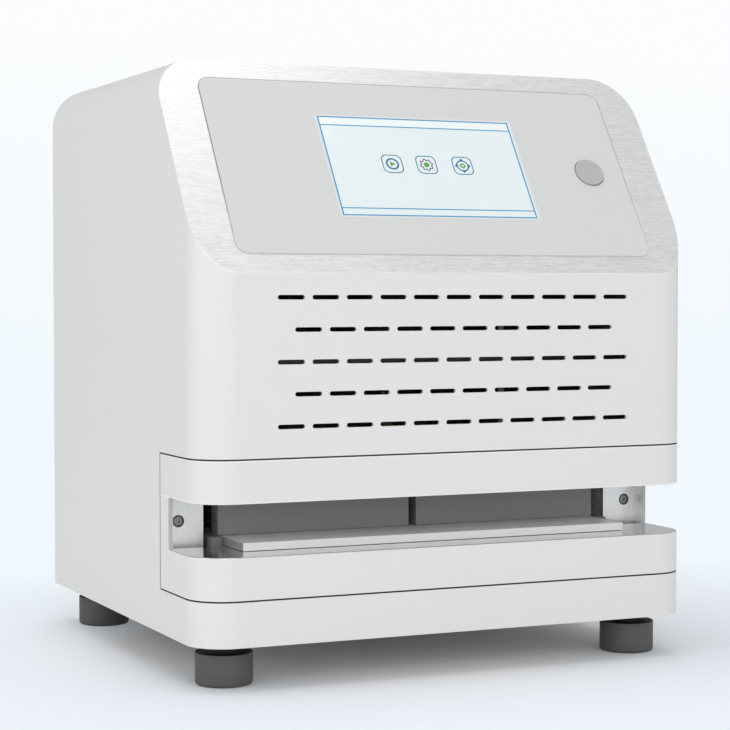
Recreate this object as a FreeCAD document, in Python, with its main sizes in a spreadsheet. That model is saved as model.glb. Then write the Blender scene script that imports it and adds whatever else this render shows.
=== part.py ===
# Bench-top heat sealer for microplates: a painted casing with a sloping touch panel, a hand notch
# through the whole front, a tray that slides out of the notch and two heated heads that press down.
# Millimetres. X to the right, Y from the front to the back, Z up, origin on the table under the middle.
import FreeCAD, Part
import math
import os
import re
import Sketcher

Vector = FreeCAD.Vector
doc = FreeCAD.newDocument("HeatSealer")
sheet = doc.addObject("Spreadsheet::Sheet", "dims")
parts = []

# Sizes. Places along Y count from the front, places along Z from the table.
sizes = {
    # Clearances, and how far a cutting block stands out of what it cuts
    "fit_gap": 0.3,
    "slide_gap": 0.15,
    "thread_gap": 0.05,
    "hole_gap": 0.5,
    "past": 10,
    # Casing
    "case_width": 380,
    "case_depth": 350,
    "case_bottom": 30,
    "case_top": 427.2,
    "case_wall": 2.5,
    "front_radius": 27,
    "rear_radius": 4,
    "top_radius": 31.3,
    "slope_foot": 278.5,
    "slope_run": 97.4,
    # Front piece with the hand notch
    "seam_gap": 0.5,
    "bezel_bottom": 60.6,
    "bezel_top": 154.9,
    "bezel_depth": 80,
    "notch_bottom": 90.3,
    "notch_top": 125.3,
    "notch_depth": 62,
    "notch_lip": 12,
    "notch_round": 0.8,
    # Vent slots
    "vent_pitch": 24.96,
    "vent_length": 19.64,
    "vent_height": 3.1,
    "vent_low_row": 175.7,
    "vent_row_step": 21.53,
    # Sloping panel, measured up the slope from its foot
    "fascia_thick": 2,
    "overlay_side": 30,
    "overlay_foot": 14.5,
    "overlay_head": 15.4,
    "overlay_radius": 9,
    "overlay_thick": 0.5,
    "screen_width": 153,
    "screen_length": 85.6,
    "screen_foot": 46.4,
    "screen_gap": 0.7,
    "glass_thick": 1.5,
    "glass_radius": 1,
    "screen_pad": 1,
    "module_width": 165,
    "module_length": 100,
    "module_thick": 6.5,
    "module_gap": 1,
    # Round button
    "button_side": 58.7,
    "button_up": 88.4,
    "button_radius": 11.3,
    "button_round": 0.5,
    "button_rise": 1.3,
    "button_thick": 2.2,
    "stem_radius": 5,
    "stem_tail": 1,
    "button_body_depth": 18,
    "collar_over": 4,
    "collar_thick": 3,
    # Base, feet and rear panel
    "pan_thick": 3,
    "pan_flange": 15,
    "pan_wall": 2,
    "foot_side": 31,
    "foot_front": 38.3,
    "foot_back": 36.2,
    "foot_radius": 19.75,
    "foot_chamfer": 2.5,
    "foot_shoulder": 1,
    "foot_neck": 16.5,
    "foot_neck_height": 3,
    "foot_seat": 12,
    "foot_screw_radius": 2.5,
    "foot_head_radius": 4.75,
    "foot_head_height": 3.5,
    "foot_screw_end": 6,
    "rear_thick": 2,
    "rear_recess": 2,
    "panel_screw_side": 9,
    "panel_screw_low": 60,
    "panel_screw_step": 160,
    "panel_screw_radius": 3,
    "panel_screw_height": 1.6,
    # Brushed plates beside the mouth
    "mouth_side": 29.5,
    "mouth_plate_y": 74.7,
    "mouth_plate_thick": 4,
    "mouth_plate_over": 10.5,
    "mouth_screw_side": 11.3,
    "mouth_screw_up": 17.2,
    "cap_radius": 4,
    "cap_height": 2.4,
    "cap_shank": 12,
    "counterbore_depth": 3,
    "socket_radius": 1.75,
    "socket_depth": 1.4,
    # Side frames and bridge
    "frame_side": 27.5,
    "frame_thick": 5,
    "frame_space": 50,
    "frame_low_top": 110,
    "frame_flange": 20,
    "flange_inset": 12,
    "flange_end": 2,
    "web_low_reach": 50,
    "web_high_reach": 12,
    "window_half": 20,
    "window_low_rim": 42,
    "window_top_rim": 22,
    "bridge_thick": 12,
    "bridge_width": 60,
    "bridge_screw_in": 12,
    "bridge_screw_side": 13,
    "bridge_screw_radius": 3,
    "bridge_head_radius": 4.8,
    "bridge_head_height": 5,
    # Tray and its guides
    "tray_float": 0.3,
    "tray_front": 27.5,
    "tray_back": 65,
    "tray_thick": 5.4,
    "tray_round": 1,
    "pocket_length": 128.2,
    "pocket_width": 86,
    "pocket_depth": 3.4,
    "pocket_rim": 8,
    "pocket_radius": 3.5,
    "guide_space": 5,
    "guide_lip": 7.8,
    "guide_shelf": 8.5,
    "guide_gap": 0.4,
    "guide_front": 66,
    "guide_back": 55,
    # Press head
    "head_y": 126.5,
    "head_gap": 6.1,
    "shield_side_gap": 12.75,
    "shield_depth": 104,
    "shield_height": 40,
    "shield_wall": 2,
    "shield_return": 13,
    "heater_side_gap": 9.35,
    "heater_end_gap": 8,
    "heater_thick": 19,
    "insulator_thick": 8,
    "cartridge_radius": 3.2,
    "cartridge_stub": 4,
    "beam_side_gap": 10.5,
    "beam_width": 60,
    "beam_thick": 12,
    "beam_bore_gap": 1.5,
    "rod_x": 100,
    "rod_radius": 6,
    "rod_spare": 26,
    "rod_seat": 2,
    "bush_radius": 10,
    "bush_flange": 14,
    "bush_flange_thick": 3,
    "bush_below": 8,
    "tower_radius": 11,
    "tower_height": 33,
    "tower_foot": 6,
    "tower_foot_thick": 4,
    "lift_travel": 28,
    "lift_spare": 4.7,
    "screw_radius": 4,
    "screw_spare": 0.7,
    "screw_stub": 5,
    "bridge_bore_gap": 2,
    # Motors
    "motor_width": 42.3,
    "motor_length": 40,
    "motor_radius": 4,
    "motor_cap": 8,
    "motor_waist": 0.8,
    "motor_boss": 11,
    "motor_boss_height": 2,
    "shaft_gap": 0.6,
    "motor_rear_gap": 3,
    # Tray drive
    "tray_screw_drop": 16.6,
    "bearing_y": 84,
    "bearing_thick": 10,
    "bearing_half": 14,
    "bearing_over": 11,
    "tray_screw_end": 2,
    "nut_inset": 18,
    "nut_thick": 15,
    "nut_width": 32,
    "nut_below": 10,
    # Power supply and controller board
    "electric_side": 40,
    "supply_z": 170,
    "supply_width": 140,
    "supply_height": 98,
    "supply_depth": 38,
    "terminal_bay": 16,
    "terminal_depth": 14,
    "terminal_ledge": 12,
    "terminal_margin": 2,
    "board_z": 285,
    "board_width": 130,
    "board_height": 100,
    "board_thick": 1.6,
    "standoff_length": 8,
    "standoff_radius": 3,
    "standoff_inset": 6,
    "sink_width": 40,
    "sink_height": 40,
    "sink_base": 3,
    "sink_fin": 1.5,
    "sink_fin_depth": 12,
    "sink_pitch": 5.5,
    "plug_width": 16,
    "plug_height": 8,
    "plug_depth": 9,
    "plug_step": 22,
    # Fan
    "fan_side": 80,
    "fan_drop": 107.2,
    "fan_width": 60,
    "fan_depth": 25,
    "fan_bore": 28.5,
    "fan_hub": 13,
    "fan_hub_end": 1.5,
    "fan_tip_gap": 1.5,
    "spider_thick": 3,
    "spider_arm": 4,
    "blade_curve": 20,
    "blade_shift": 12,
    "blade_thick": 1.2,
    "blade_root": 6,
    "wire_radius": 0.8,
    "wire_step": 6.5,
    "wire_off": 0.1,
    "guard_over": 8,
    # Mains inlet and switch
    "inlet_side": 70,
    "inlet_z": 80,
    "inlet_width": 28,
    "inlet_height": 20,
    "inlet_depth": 22,
    "inlet_wall": 2,
    "inlet_floor": 4,
    "inlet_flange_over": 11,
    "inlet_flange_rise": 2,
    "inlet_flange_thick": 1.9,
    "inlet_pin_width": 2,
    "inlet_pin_height": 4,
    "inlet_pin_length": 15,
    "inlet_pin_x": 7,
    "inlet_pin_low": 2,
    "inlet_pin_up": 3,
    "switch_spacing": 45,
    "switch_width": 20,
    "switch_height": 13,
    "switch_depth": 18,
    "switch_wall": 1.5,
    "switch_well": 9,
    "switch_rim": 1.5,
    "switch_rim_thick": 1.2,
    "rocker_half": 6.8,
    "rocker_deep": 6.5,
    "rocker_end": 3,
    "rocker_low": 0.4,
    "rocker_high": 1.6,
    "rocker_pivot": 2.5,
    "trunnion_radius": 1,
}
for row, (name, value) in enumerate(sizes.items(), 1):
    sheet.set("A%d" % row, str(value))
    sheet.setAlias("A%d" % row, name)

blade_count = 7
guard_ring_count = 4
sink_fin_count = 8
plug_count = 4

# Lines and faces that several pieces share
shorthand = {
    "front": "0 - case_depth / 2",
    "rear": "case_depth / 2",
    "half": "case_width / 2",
    "steep": "(case_top - slope_foot) / slope_run",
    "tilt": "atan2(case_top - slope_foot; slope_run)",
    "slope_length": "slope_run * sqrt(1 + steep * steep)",
    "notch_high": "notch_top - notch_bottom",
    "pan_top": "case_bottom + pan_thick",
    "panel_out": "rear - rear_recess",
    "panel_in": "rear - rear_recess - rear_thick",
    "overlay_length": "slope_length - overlay_foot - overlay_head",
    "overlay_width": "case_width - 2 * overlay_side",
    "screen_mid": "screen_foot + screen_length / 2",
    "glass_back": "overlay_thick - glass_thick",
    "shell_back": "0 - fascia_thick - case_wall",
    "button_x": "half - button_side",
    "inner_half": "half - case_wall - fit_gap",
    "mouth_half": "half - mouth_side",
    "plate_face": "front + mouth_plate_y",
    "plate_low": "notch_bottom - mouth_plate_over",
    "plate_height": "notch_high + 2 * mouth_plate_over",
    "mouth_screw_x": "half - mouth_screw_side",
    "mouth_screw_z": "notch_bottom + mouth_screw_up",
    "frame_x": "half - frame_side",
    "frame_front": "front + mouth_plate_y + mouth_plate_thick",
    "frame_back": "rear - frame_space",
    "head_line": "front + head_y",
    "tray_low": "notch_bottom + tray_float",
    "tray_high": "tray_low + tray_thick",
    "tray_half": "frame_x - guide_space - guide_lip - guide_gap",
    "tray_far": "rear - tray_back",
    "lip_x": "tray_half + guide_gap",
    "shield_end": "frame_x - shield_side_gap",
    "shield_width": "shield_end - head_gap / 2",
    "shield_front": "head_line - shield_depth / 2",
    "shield_low": "tray_high + tray_float",
    "shield_top": "shield_low + shield_height",
    "head_x": "(shield_end + head_gap / 2) / 2",
    "heater_length": "shield_width - 2 * heater_side_gap",
    "heater_width": "shield_depth - 2 * heater_end_gap",
    "heater_low": "shield_top - shield_wall - insulator_thick - heater_thick",
    "beam_half": "frame_x - beam_side_gap",
    "beam_top": "shield_top + beam_thick",
    "bridge_low": "beam_top + tower_height + lift_travel + lift_spare",
    "bridge_top": "bridge_low + bridge_thick",
    "bridge_front": "head_line - bridge_width / 2",
    "bridge_back": "head_line + bridge_width / 2",
    "bridge_screw_x": "frame_x + bridge_screw_side",
    "screw_end": "shield_top + lift_travel + screw_spare",
    "tray_screw_z": "tray_low - tray_screw_drop",
    "tray_motor_y": "panel_in - motor_rear_gap - motor_length",
    "rear_bearing_y": "tray_motor_y - motor_boss_height - bearing_thick",
    "supply_x": "0 - half + electric_side + supply_width / 2",
    "supply_low": "supply_z - supply_height / 2",
    "bay_x": "supply_x + supply_width / 2 - terminal_bay",
    "board_x": "half - electric_side - board_width / 2",
    "board_low": "board_z - board_height / 2",
    "board_face": "panel_in - standoff_length - board_thick",
    "fan_x": "0 - half + fan_side",
    "fan_z": "case_top - fan_drop",
    "fan_front": "panel_in - fan_depth",
    "fan_tip": "fan_bore - fan_tip_gap",
    "spider_span": "fan_width - 2 * fit_gap",
    "guard_reach": "fan_width / 2 + guard_over",
    "wire_line": "panel_out + wire_radius + wire_off",
    "inlet_x": "half - inlet_side",
    "switch_x": "half - inlet_side - switch_spacing",
    "well_width": "switch_width - 2 * switch_wall",
    "well_height": "switch_height - 2 * switch_wall",
}


def formula(text):
    """Write the shared lines out in full and point each size at its cell."""
    found = re.search(r"\b(%s)\b" % "|".join(shorthand), text)
    while found:
        text = re.sub(r"\b%s\b" % found.group(1), "(%s)" % shorthand[found.group(1)], text)
        found = re.search(r"\b(%s)\b" % "|".join(shorthand), text)
    return re.sub(r"\b(%s)\b" % "|".join(sizes), r"dims.\1", text)


def number(text):
    """The value of a formula now, for the first drawing of a sketch."""
    made = formula(text).replace("dims.", "")
    for word in sorted(set(re.findall(r"[a-z_]+", made)), key=len, reverse=True):
        if word in sizes:
            made = re.sub(r"\b%s\b" % word, str(sizes[word]), made)
    return float(FreeCAD.Units.Quantity(made).Value)


# Builders
def bind(thing, settings):
    for prop, text in settings.items():
        thing.setExpression(prop, formula(text))
    return thing


def put(thing, x, y, z, axis=None, angle=None):
    if axis:
        thing.Placement = FreeCAD.Placement(Vector(0, 0, 0), FreeCAD.Rotation(Vector(*axis), 90))
        thing.setExpression("Placement.Rotation.Angle", formula(angle))
    return bind(thing, {"Placement.Base.x": x, "Placement.Base.y": y, "Placement.Base.z": z})


def box(name, x, y, z, length, width, height):
    """A block from its lowest corner."""
    made = bind(doc.addObject("Part::Box", name), {"Length": length, "Width": width, "Height": height})
    return put(made, x, y, z)


def block(name, x_mid, length, y, width, z, height):
    """A block centred on x_mid, from y and z on."""
    return box(name, "%s - (%s) / 2" % (x_mid, length), y, z, length, width, height)


def bar(name, radius, height):
    return bind(doc.addObject("Part::Cylinder", name), {"Radius": radius, "Height": height})


def rod(name, radius, height, x, y, z, along="z"):
    """A round bar that starts at a point and runs along +X, +Y or +Z."""
    turn = {"x": ((0, 1, 0), "90"), "y": ((1, 0, 0), "-90"), "z": (None, None)}[along]
    return put(bar(name, radius, height), x, y, z, *turn)


def fuse(name, shapes):
    made = doc.addObject("Part::MultiFuse", name)
    made.Shapes = shapes
    made.Refine = True
    return made


def common(name, base, tool):
    made = doc.addObject("Part::Common", name)
    made.Base = base
    made.Tool = tool
    return made


def cut(name, base, tools):
    made = doc.addObject("Part::Cut", name)
    made.Base = base
    made.Tool = tools[0] if len(tools) == 1 else fuse(name + "_tools", tools)
    return made


def group(name, solids):
    made = doc.addObject("Part::Compound", name)
    made.Links = solids
    return made


def mirrored(name, source):
    made = doc.addObject("Part::Mirroring", name)
    made.Source = source
    made.Normal = Vector(1, 0, 0)
    return made


def on_slope(thing, x, up, out):
    """Lay a thing on the sloping plane: x across, up from its foot, out from its surface."""
    return put(
        thing, x,
        "front + (%s) * cos(tilt) - (%s) * sin(tilt)" % (up, out),
        "slope_foot + (%s) * sin(tilt) + (%s) * cos(tilt)" % (up, out),
        (1, 0, 0), "tilt")


def slope_block(name, length, width, low, out, thick):
    """A block on the sloping plane, centred across it, from low up the slope and out from it."""
    made = box(name, "0", "0", "0", length, width, thick)
    return on_slope(made, "0 - (%s) / 2" % length, low, out)


def slope_rod(name, radius, out, height):
    """A round bar square to the sloping plane, on the button's axis."""
    return on_slope(bar(name, radius, height), "button_x", "button_up", out)


def part(name, thing):
    thing.Label = name
    parts.append((name, thing))
    return thing


def new_body(name):
    return doc.addObject("PartDesign::Body", name)


def body_sketch(body, name, plane, offset="0"):
    """An empty sketch on one of the body's own planes, moved along that plane's normal."""
    made = body.newObject("Sketcher::SketchObject", name)
    origin = [item for item in body.Origin.OriginFeatures if item.Role == plane + "_Plane"][0]
    made.AttachmentSupport = (origin, [""])
    made.MapMode = "FlatFace"
    return bind(made, {"AttachmentOffset.Base.z": offset})


def pin(sketch, index, point, x, y, tag):
    """Fix one point of a sketch's line or arc by its two distances from the origin."""
    for kind, text in (("DistanceX", x), ("DistanceY", y)):
        made = sketch.addConstraint(Sketcher.Constraint(kind, -1, 1, index, point, number(text)))
        label = "%s_%s" % (kind[-1].lower(), tag)
        sketch.renameConstraint(made, label)
        sketch.setExpression("Constraints." + label, formula(text))


def fix_radius(sketch, index, text):
    made = sketch.addConstraint(Sketcher.Constraint("Radius", index, number(text)))
    sketch.renameConstraint(made, "radius_%d" % index)
    sketch.setExpression("Constraints.radius_%d" % index, formula(text))


def polygon(sketch, points):
    """A closed outline of straight lines through the points."""
    first = sketch.GeometryCount
    values = [Vector(number(x), number(y), 0) for x, y in points]
    count = len(points)
    for here in range(count):
        sketch.addGeometry(Part.LineSegment(values[here], values[(here + 1) % count]))
    for here in range(count):
        after = first + (here + 1) % count
        sketch.addConstraint(Sketcher.Constraint("Coincident", first + here, 2, after, 1))
    for here, (x, y) in enumerate(points):
        pin(sketch, first + here, 1, x, y, "p%d" % (first + here))
    return sketch


def rectangle(sketch, x_mid, length, y_mid, width):
    left, right = "%s - (%s) / 2" % (x_mid, length), "%s + (%s) / 2" % (x_mid, length)
    low, high = "%s - (%s) / 2" % (y_mid, width), "%s + (%s) / 2" % (y_mid, width)
    return polygon(sketch, [(left, low), (right, low), (right, high), (left, high)])


def circle(sketch, x, y, radius):
    centre = Vector(number(x), number(y), 0)
    index = sketch.addGeometry(Part.Circle(centre, Vector(0, 0, 1), number(radius)))
    pin(sketch, index, 3, x, y, "c%d" % index)
    fix_radius(sketch, index, radius)
    return sketch


def slot(sketch, x, y, length, height):
    """A slot with round ends, centred on a point."""
    radius = number(height) / 2
    reach = number(length) / 2 - radius
    cx, cy = number(x), number(y)
    up = Vector(0, 0, 1)
    quarter = math.pi / 2
    right = Part.Circle(Vector(cx + reach, cy, 0), up, radius)
    left = Part.Circle(Vector(cx - reach, cy, 0), up, radius)
    sketch.addGeometry(Part.ArcOfCircle(right, -quarter, quarter))
    sketch.addGeometry(Part.ArcOfCircle(left, quarter, 3 * quarter))
    for side in (radius, -radius):
        a = Vector(cx - reach, cy + side, 0)
        b = Vector(cx + reach, cy + side, 0)
        sketch.addGeometry(Part.LineSegment(a, b))
    for one, end, two, start in ((0, 2, 2, 2), (0, 1, 3, 2), (1, 1, 2, 1), (1, 2, 3, 1)):
        sketch.addConstraint(Sketcher.Constraint("Tangent", one, end, two, start))
    shift = "((%s) - (%s)) / 2" % (length, height)
    pin(sketch, 0, 3, "%s + %s" % (x, shift), y, "right")
    pin(sketch, 1, 3, "%s - %s" % (x, shift), y, "left")
    fix_radius(sketch, 0, "(%s) / 2" % height)
    return sketch


def pad(body, sketch, length, back=False):
    made = body.newObject("PartDesign::Pad", sketch.Name + "_pad")
    made.Profile = sketch
    made.Reversed = back
    bind(made, {"Length": length})
    body.Tip = made
    doc.recompute()
    return made


def pocket(body, sketch, length, both=False, back=False):
    before = body.Shape.Volume
    made = body.newObject("PartDesign::Pocket", sketch.Name + "_pocket")
    made.Profile = sketch
    made.Midplane = both
    made.Reversed = back
    bind(made, {"Length": length})
    body.Tip = made
    doc.recompute()
    if made.Shape.Volume >= before:
        raise ValueError("nothing cut by " + made.Name)
    return made


def round_edges(body, radius, chosen):
    """Round the edges of the body that the test picks."""
    tip = body.Tip
    names = ["Edge%d" % (i + 1) for i, edge in enumerate(tip.Shape.Edges) if chosen(edge)]
    made = body.newObject("PartDesign::Fillet", "%s_round_%d" % (body.Name, len(body.Group)))
    made.Base = (tip, names)
    bind(made, {"Radius": radius})
    body.Tip = made
    doc.recompute()
    return made


def spread(body, feature, sketch, count, pitch, rows=1, row_step="0"):
    """Repeat a feature along the sketch's horizontal axis, and in rows along its vertical one."""
    made = body.newObject("PartDesign::LinearPattern", feature.Name + "_spread")
    made.Originals = [feature]
    made.Direction = (sketch, ["H_Axis"])
    made.Occurrences = count
    bind(made, {"Length": "(%s) * %d" % (pitch, count - 1)})
    if rows > 1:
        made.Direction2 = (sketch, ["V_Axis"])
        made.Occurrences2 = rows
        bind(made, {"Length2": "(%s) * %d" % (row_step, rows - 1)})
    body.Tip = made
    doc.recompute()
    return made


def same(a, b):
    return abs(a - b) < 0.01


def upright(edge):
    a, b = edge.Vertexes[0].Point, edge.Vertexes[-1].Point
    return same(a.x, b.x) and same(a.y, b.y) and not same(a.z, b.z)


def rounded_plate(name, length, width, thick, radius):
    """A flat plate centred on its own origin, with round corners, from z = 0 up."""
    body = new_body(name)
    drawing = rectangle(body_sketch(body, name + "_outline", "XY"), "0", length, "0", width)
    pad(body, drawing, thick)
    round_edges(body, radius, upright)
    return body


# Casing forms: the same outline at several insets
def case_form(name, inset, slope_inset, low, back, round_back=False):
    body = new_body(name)
    wide = "half - (%s)" % inset
    near = "front + (%s)" % inset
    plan = body_sketch(body, name + "_plan", "XY", low)
    polygon(plan, [("0 - (%s)" % wide, near), (wide, near), (wide, back), ("0 - (%s)" % wide, back)])
    top = "case_top - (%s)" % inset
    pad(body, plan, "(%s) - (%s)" % (top, low))
    side = body_sketch(body, name + "_side", "YZ")
    drop = "(%s) * sqrt(1 + steep * steep)" % slope_inset
    polygon(side, [
        ("front - past", "slope_foot - past * steep - %s" % drop),
        ("front + slope_run + past + (%s) / steep" % drop, "case_top + past * steep"),
        ("front - past", "case_top + past * steep")])
    pocket(body, side, "2 * case_width", both=True)
    high = number(top)
    edge_x = number(wide)

    def top_side(edge):
        a, b = edge.Vertexes[0].Point, edge.Vertexes[-1].Point
        return same(a.x, b.x) and same(abs(a.x), edge_x) and same(a.z, high) and same(b.z, high)

    def front_corner(edge):
        return upright(edge) and edge.Vertexes[0].Point.y < 0

    def rear_corner(edge):
        return upright(edge) and edge.Vertexes[0].Point.y > 0

    round_edges(body, "top_radius - (%s)" % inset, top_side)
    round_edges(body, "front_radius - (%s)" % inset, front_corner)
    if round_back:
        round_edges(body, "rear_radius", rear_corner)
    return body


outer_form = case_form("outer_form", "0", "0", "case_bottom", "rear", round_back=True)
shell_form = case_form("shell_form", "0", "fascia_thick", "case_bottom", "rear", round_back=True)
cavity = case_form("cavity", "case_wall", "fascia_thick + case_wall", "case_bottom - past", "rear + past")
liner = case_form("liner", "case_wall + fit_gap", "fascia_thick + case_wall + fit_gap", "case_bottom",
                  "panel_out")

# Vent slots: three rows of eleven and two rows of ten between them
vent_rows = {"long": (11, 3, 0), "short": (10, 2, 1)}
for row_name, (slot_count, row_count, first_row) in vent_rows.items():
    drawing = body_sketch(shell_form, "vents_" + row_name, "XZ", "0 - front")
    slot(drawing, "0 - vent_pitch * %g" % ((slot_count - 1) / 2),
         "vent_low_row + vent_row_step * %d" % first_row, "vent_length", "vent_height")
    cutter = pocket(shell_form, drawing, "case_wall + hole_gap")
    spread(shell_form, cutter, drawing, slot_count, "vent_pitch", row_count, "2 * vent_row_step")

# Housing shell, open at the back and below, with the bezel's space, the screen's and the button's
bezel_space = block("bezel_space", "0", "case_width + 2 * past", "front - past", "bezel_depth + past",
                    "bezel_bottom", "bezel_top - bezel_bottom")
module_hole = slope_block("module_hole", "module_width + 2 * module_gap", "module_length + 2 * module_gap",
                          "screen_mid - module_length / 2 - module_gap", "shell_back - past", "2 * past")
button_hole = slope_rod("button_hole", "button_radius + hole_gap", "shell_back - past", "3 * past")
part("housing_shell", cut("housing", shell_form, [cavity, bezel_space, module_hole, button_hole]))

# Fascia: the slice between the outer slope and the shell's slope
under_fascia = block("under_fascia", "0", "case_width + 2 * past", "front - past", "case_depth + 2 * past",
                     "case_bottom - past", "slope_foot - case_bottom - fascia_thick")
glass_hole = slope_block("glass_hole", "screen_width + 2 * screen_gap", "screen_length + 2 * screen_gap",
                         "screen_foot - screen_gap", "0 - past", "2 * past")
fascia_slice = cut("fascia_slice", outer_form, [shell_form, under_fascia])
part("fascia_plate", cut("fascia", fascia_slice, [glass_hole, button_hole]))

# Grey overlay film on the fascia, with round corners
overlay = rounded_plate("overlay", "overlay_width", "overlay_length", "overlay_thick", "overlay_radius")
on_slope(overlay, "0", "overlay_foot + overlay_length / 2", "0")
part("control_overlay", cut("overlay_cut", overlay, [glass_hole, button_hole]))

# Touch screen: the glass, flush with the overlay, and the module behind it
glass = rounded_plate("glass", "screen_width", "screen_length", "glass_thick", "glass_radius")
part("display_glass", on_slope(glass, "0", "screen_mid", "glass_back"))
screen_block = slope_block("screen_block", "screen_width", "screen_length", "screen_foot",
                           "glass_back - screen_pad", "screen_pad")
module_block = slope_block("module_block", "module_width", "module_length", "screen_mid - module_length / 2",
                           "glass_back - screen_pad - module_thick", "module_thick")
part("display_module", fuse("display_stack", [screen_block, module_block]))

# Round button on the panel: a cap with a rounded edge on a stem, in a body behind the panel
cap = new_body("cap")
pad(cap, circle(body_sketch(cap, "cap_outline", "XY"), "0", "0", "button_radius"), "button_thick")
round_edges(cap, "button_round", lambda edge: edge.Vertexes[0].Point.z > 1)
on_slope(cap, "button_x", "button_up", "overlay_thick + button_rise - button_thick")
stem = slope_rod("stem", "stem_radius", "stem_tail - button_body_depth", "button_body_depth")
part("power_button", fuse("button_cap", [cap, stem]))
sleeve = slope_rod("sleeve", "button_radius", "0 - button_body_depth - stem_tail",
                   "button_body_depth + stem_tail + shell_back")
collar = slope_rod("collar", "button_radius + collar_over", "shell_back - collar_thick", "collar_thick")
stem_bore = slope_rod("stem_bore", "stem_radius + slide_gap", "0 - button_body_depth - past",
                      "button_body_depth + 2 * past")
part("button_housing", cut("button_body", fuse("button_shell", [sleeve, collar]), [stem_bore]))

# Front piece: an outer skin round the notch, a ledge below it and a hood above it, open at the back
bezel_block = block("bezel_block", "0", "case_width + 2 * past", "front - past",
                    "bezel_depth + past - seam_gap", "bezel_bottom + seam_gap",
                    "bezel_top - bezel_bottom - 2 * seam_gap")
bezel_solid = common("bezel_solid", shell_form, bezel_block)
low_hollow = block("low_hollow", "0", "case_width", "front", "notch_depth - case_wall",
                   "case_bottom", "notch_bottom - case_wall - case_bottom")
low_open = block("low_open", "0", "case_width", "front", "bezel_depth + past",
                 "case_bottom", "notch_bottom - case_wall - notch_lip - case_bottom")
high_hollow = block("high_hollow", "0", "case_width", "front", "notch_depth - case_wall",
                    "notch_top + case_wall", "bezel_top - notch_top")
high_open = block("high_open", "0", "case_width", "front", "bezel_depth + past",
                  "notch_top + case_wall + notch_lip", "bezel_top - notch_top")
back_open = block("back_open", "0", "case_width", "front + notch_depth", "bezel_depth",
                  "case_bottom", "bezel_top - case_bottom + past")
bezel_voids = fuse("bezel_voids", [low_hollow, low_open, high_hollow, high_open, back_open])
bezel_void = common("bezel_void", cavity, bezel_voids)
notch = block("notch", "0", "case_width + 2 * past", "front - past", "notch_depth + past",
              "notch_bottom", "notch_high")
bezel = cut("bezel", bezel_solid, [bezel_void, notch])
doc.recompute()
rim_levels = (number("notch_bottom"), number("notch_top"))
rim_back = number("front + notch_depth")


def on_rim(edge):
    """An edge of the notch's floor or ceiling, in front of the notch's back."""
    middle = edge.valueAt((edge.FirstParameter + edge.LastParameter) / 2)
    heights = [vertex.Z for vertex in edge.Vertexes] + [middle.z]
    level = any(all(same(z, height) for z in heights) for height in rim_levels)
    return level and middle.y < rim_back and not same(middle.y, rim_back)


rounded_bezel = doc.addObject("Part::Fillet", "rounded_bezel")
rounded_bezel.Base = bezel
rim_radius = sizes["notch_round"]
rounded_bezel.Edges = [(i, rim_radius, rim_radius) for i, edge in enumerate(bezel.Shape.Edges, 1) if on_rim(edge)]
part("mouth_bezel", rounded_bezel)

# Brushed plates beside the mouth, each with one socket screw in a counterbore
mouth_plate = box("mouth_plate", "mouth_half", "plate_face", "plate_low", "inner_half - mouth_half",
                  "mouth_plate_thick", "plate_height")
counterbore = rod("counterbore", "cap_radius + fit_gap", "counterbore_depth + past", "mouth_screw_x",
                  "plate_face - past", "mouth_screw_z", "y")
plate_hole = rod("plate_hole", "cap_radius / 2 + fit_gap", "mouth_plate_thick + past", "mouth_screw_x",
                 "plate_face", "mouth_screw_z", "y")
right_plate = cut("right_plate", mouth_plate, [counterbore, plate_hole])
part("mouth_plate_right", right_plate)
part("mouth_plate_left", mirrored("left_plate", right_plate))
screw_head = rod("screw_head", "cap_radius", "cap_height", "mouth_screw_x",
                 "plate_face + counterbore_depth - cap_height", "mouth_screw_z", "y")
screw_shank = rod("screw_shank", "cap_radius / 2", "cap_shank", "mouth_screw_x",
                  "plate_face + counterbore_depth", "mouth_screw_z", "y")
socket = bind(doc.addObject("Part::Prism", "socket"), {"Circumradius": "socket_radius", "Height": "socket_depth"})
put(socket, "mouth_screw_x", "plate_face + counterbore_depth - cap_height", "mouth_screw_z", (1, 0, 0), "-90")
right_screw = cut("right_screw", fuse("screw_blank", [screw_head, screw_shank]), [socket])
part("mouth_plate_screws", group("both_mouth_screws", [right_screw, mirrored("left_screw", right_screw)]))

# Base pan with an upturned flange all round
foot_places = {}
for side, side_name in ((-1, "left"), (1, "right")):
    foot_places["front_" + side_name] = ("%d * (half - foot_side)" % side, "front + foot_front")
    foot_places["rear_" + side_name] = ("%d * (half - foot_side)" % side, "rear - foot_back")
pan_block = block("pan_block", "0", "case_width", "front", "panel_in - front", "case_bottom",
                  "pan_thick + pan_flange")
pan_outline = common("pan_outline", liner, pan_block)
pan_inside = block("pan_inside", "0", "2 * (inner_half - pan_wall)", "front + case_wall + fit_gap + pan_wall",
                   "panel_in - front - case_wall - fit_gap - 2 * pan_wall", "pan_top", "pan_flange + past")
foot_holes = [rod("foot_hole_" + label, "foot_screw_radius + fit_gap", "pan_thick + 2 * past", x, y,
                  "case_bottom - past") for label, (x, y) in foot_places.items()]
part("base_pan", cut("pan", pan_outline, [pan_inside] + foot_holes))

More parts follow.
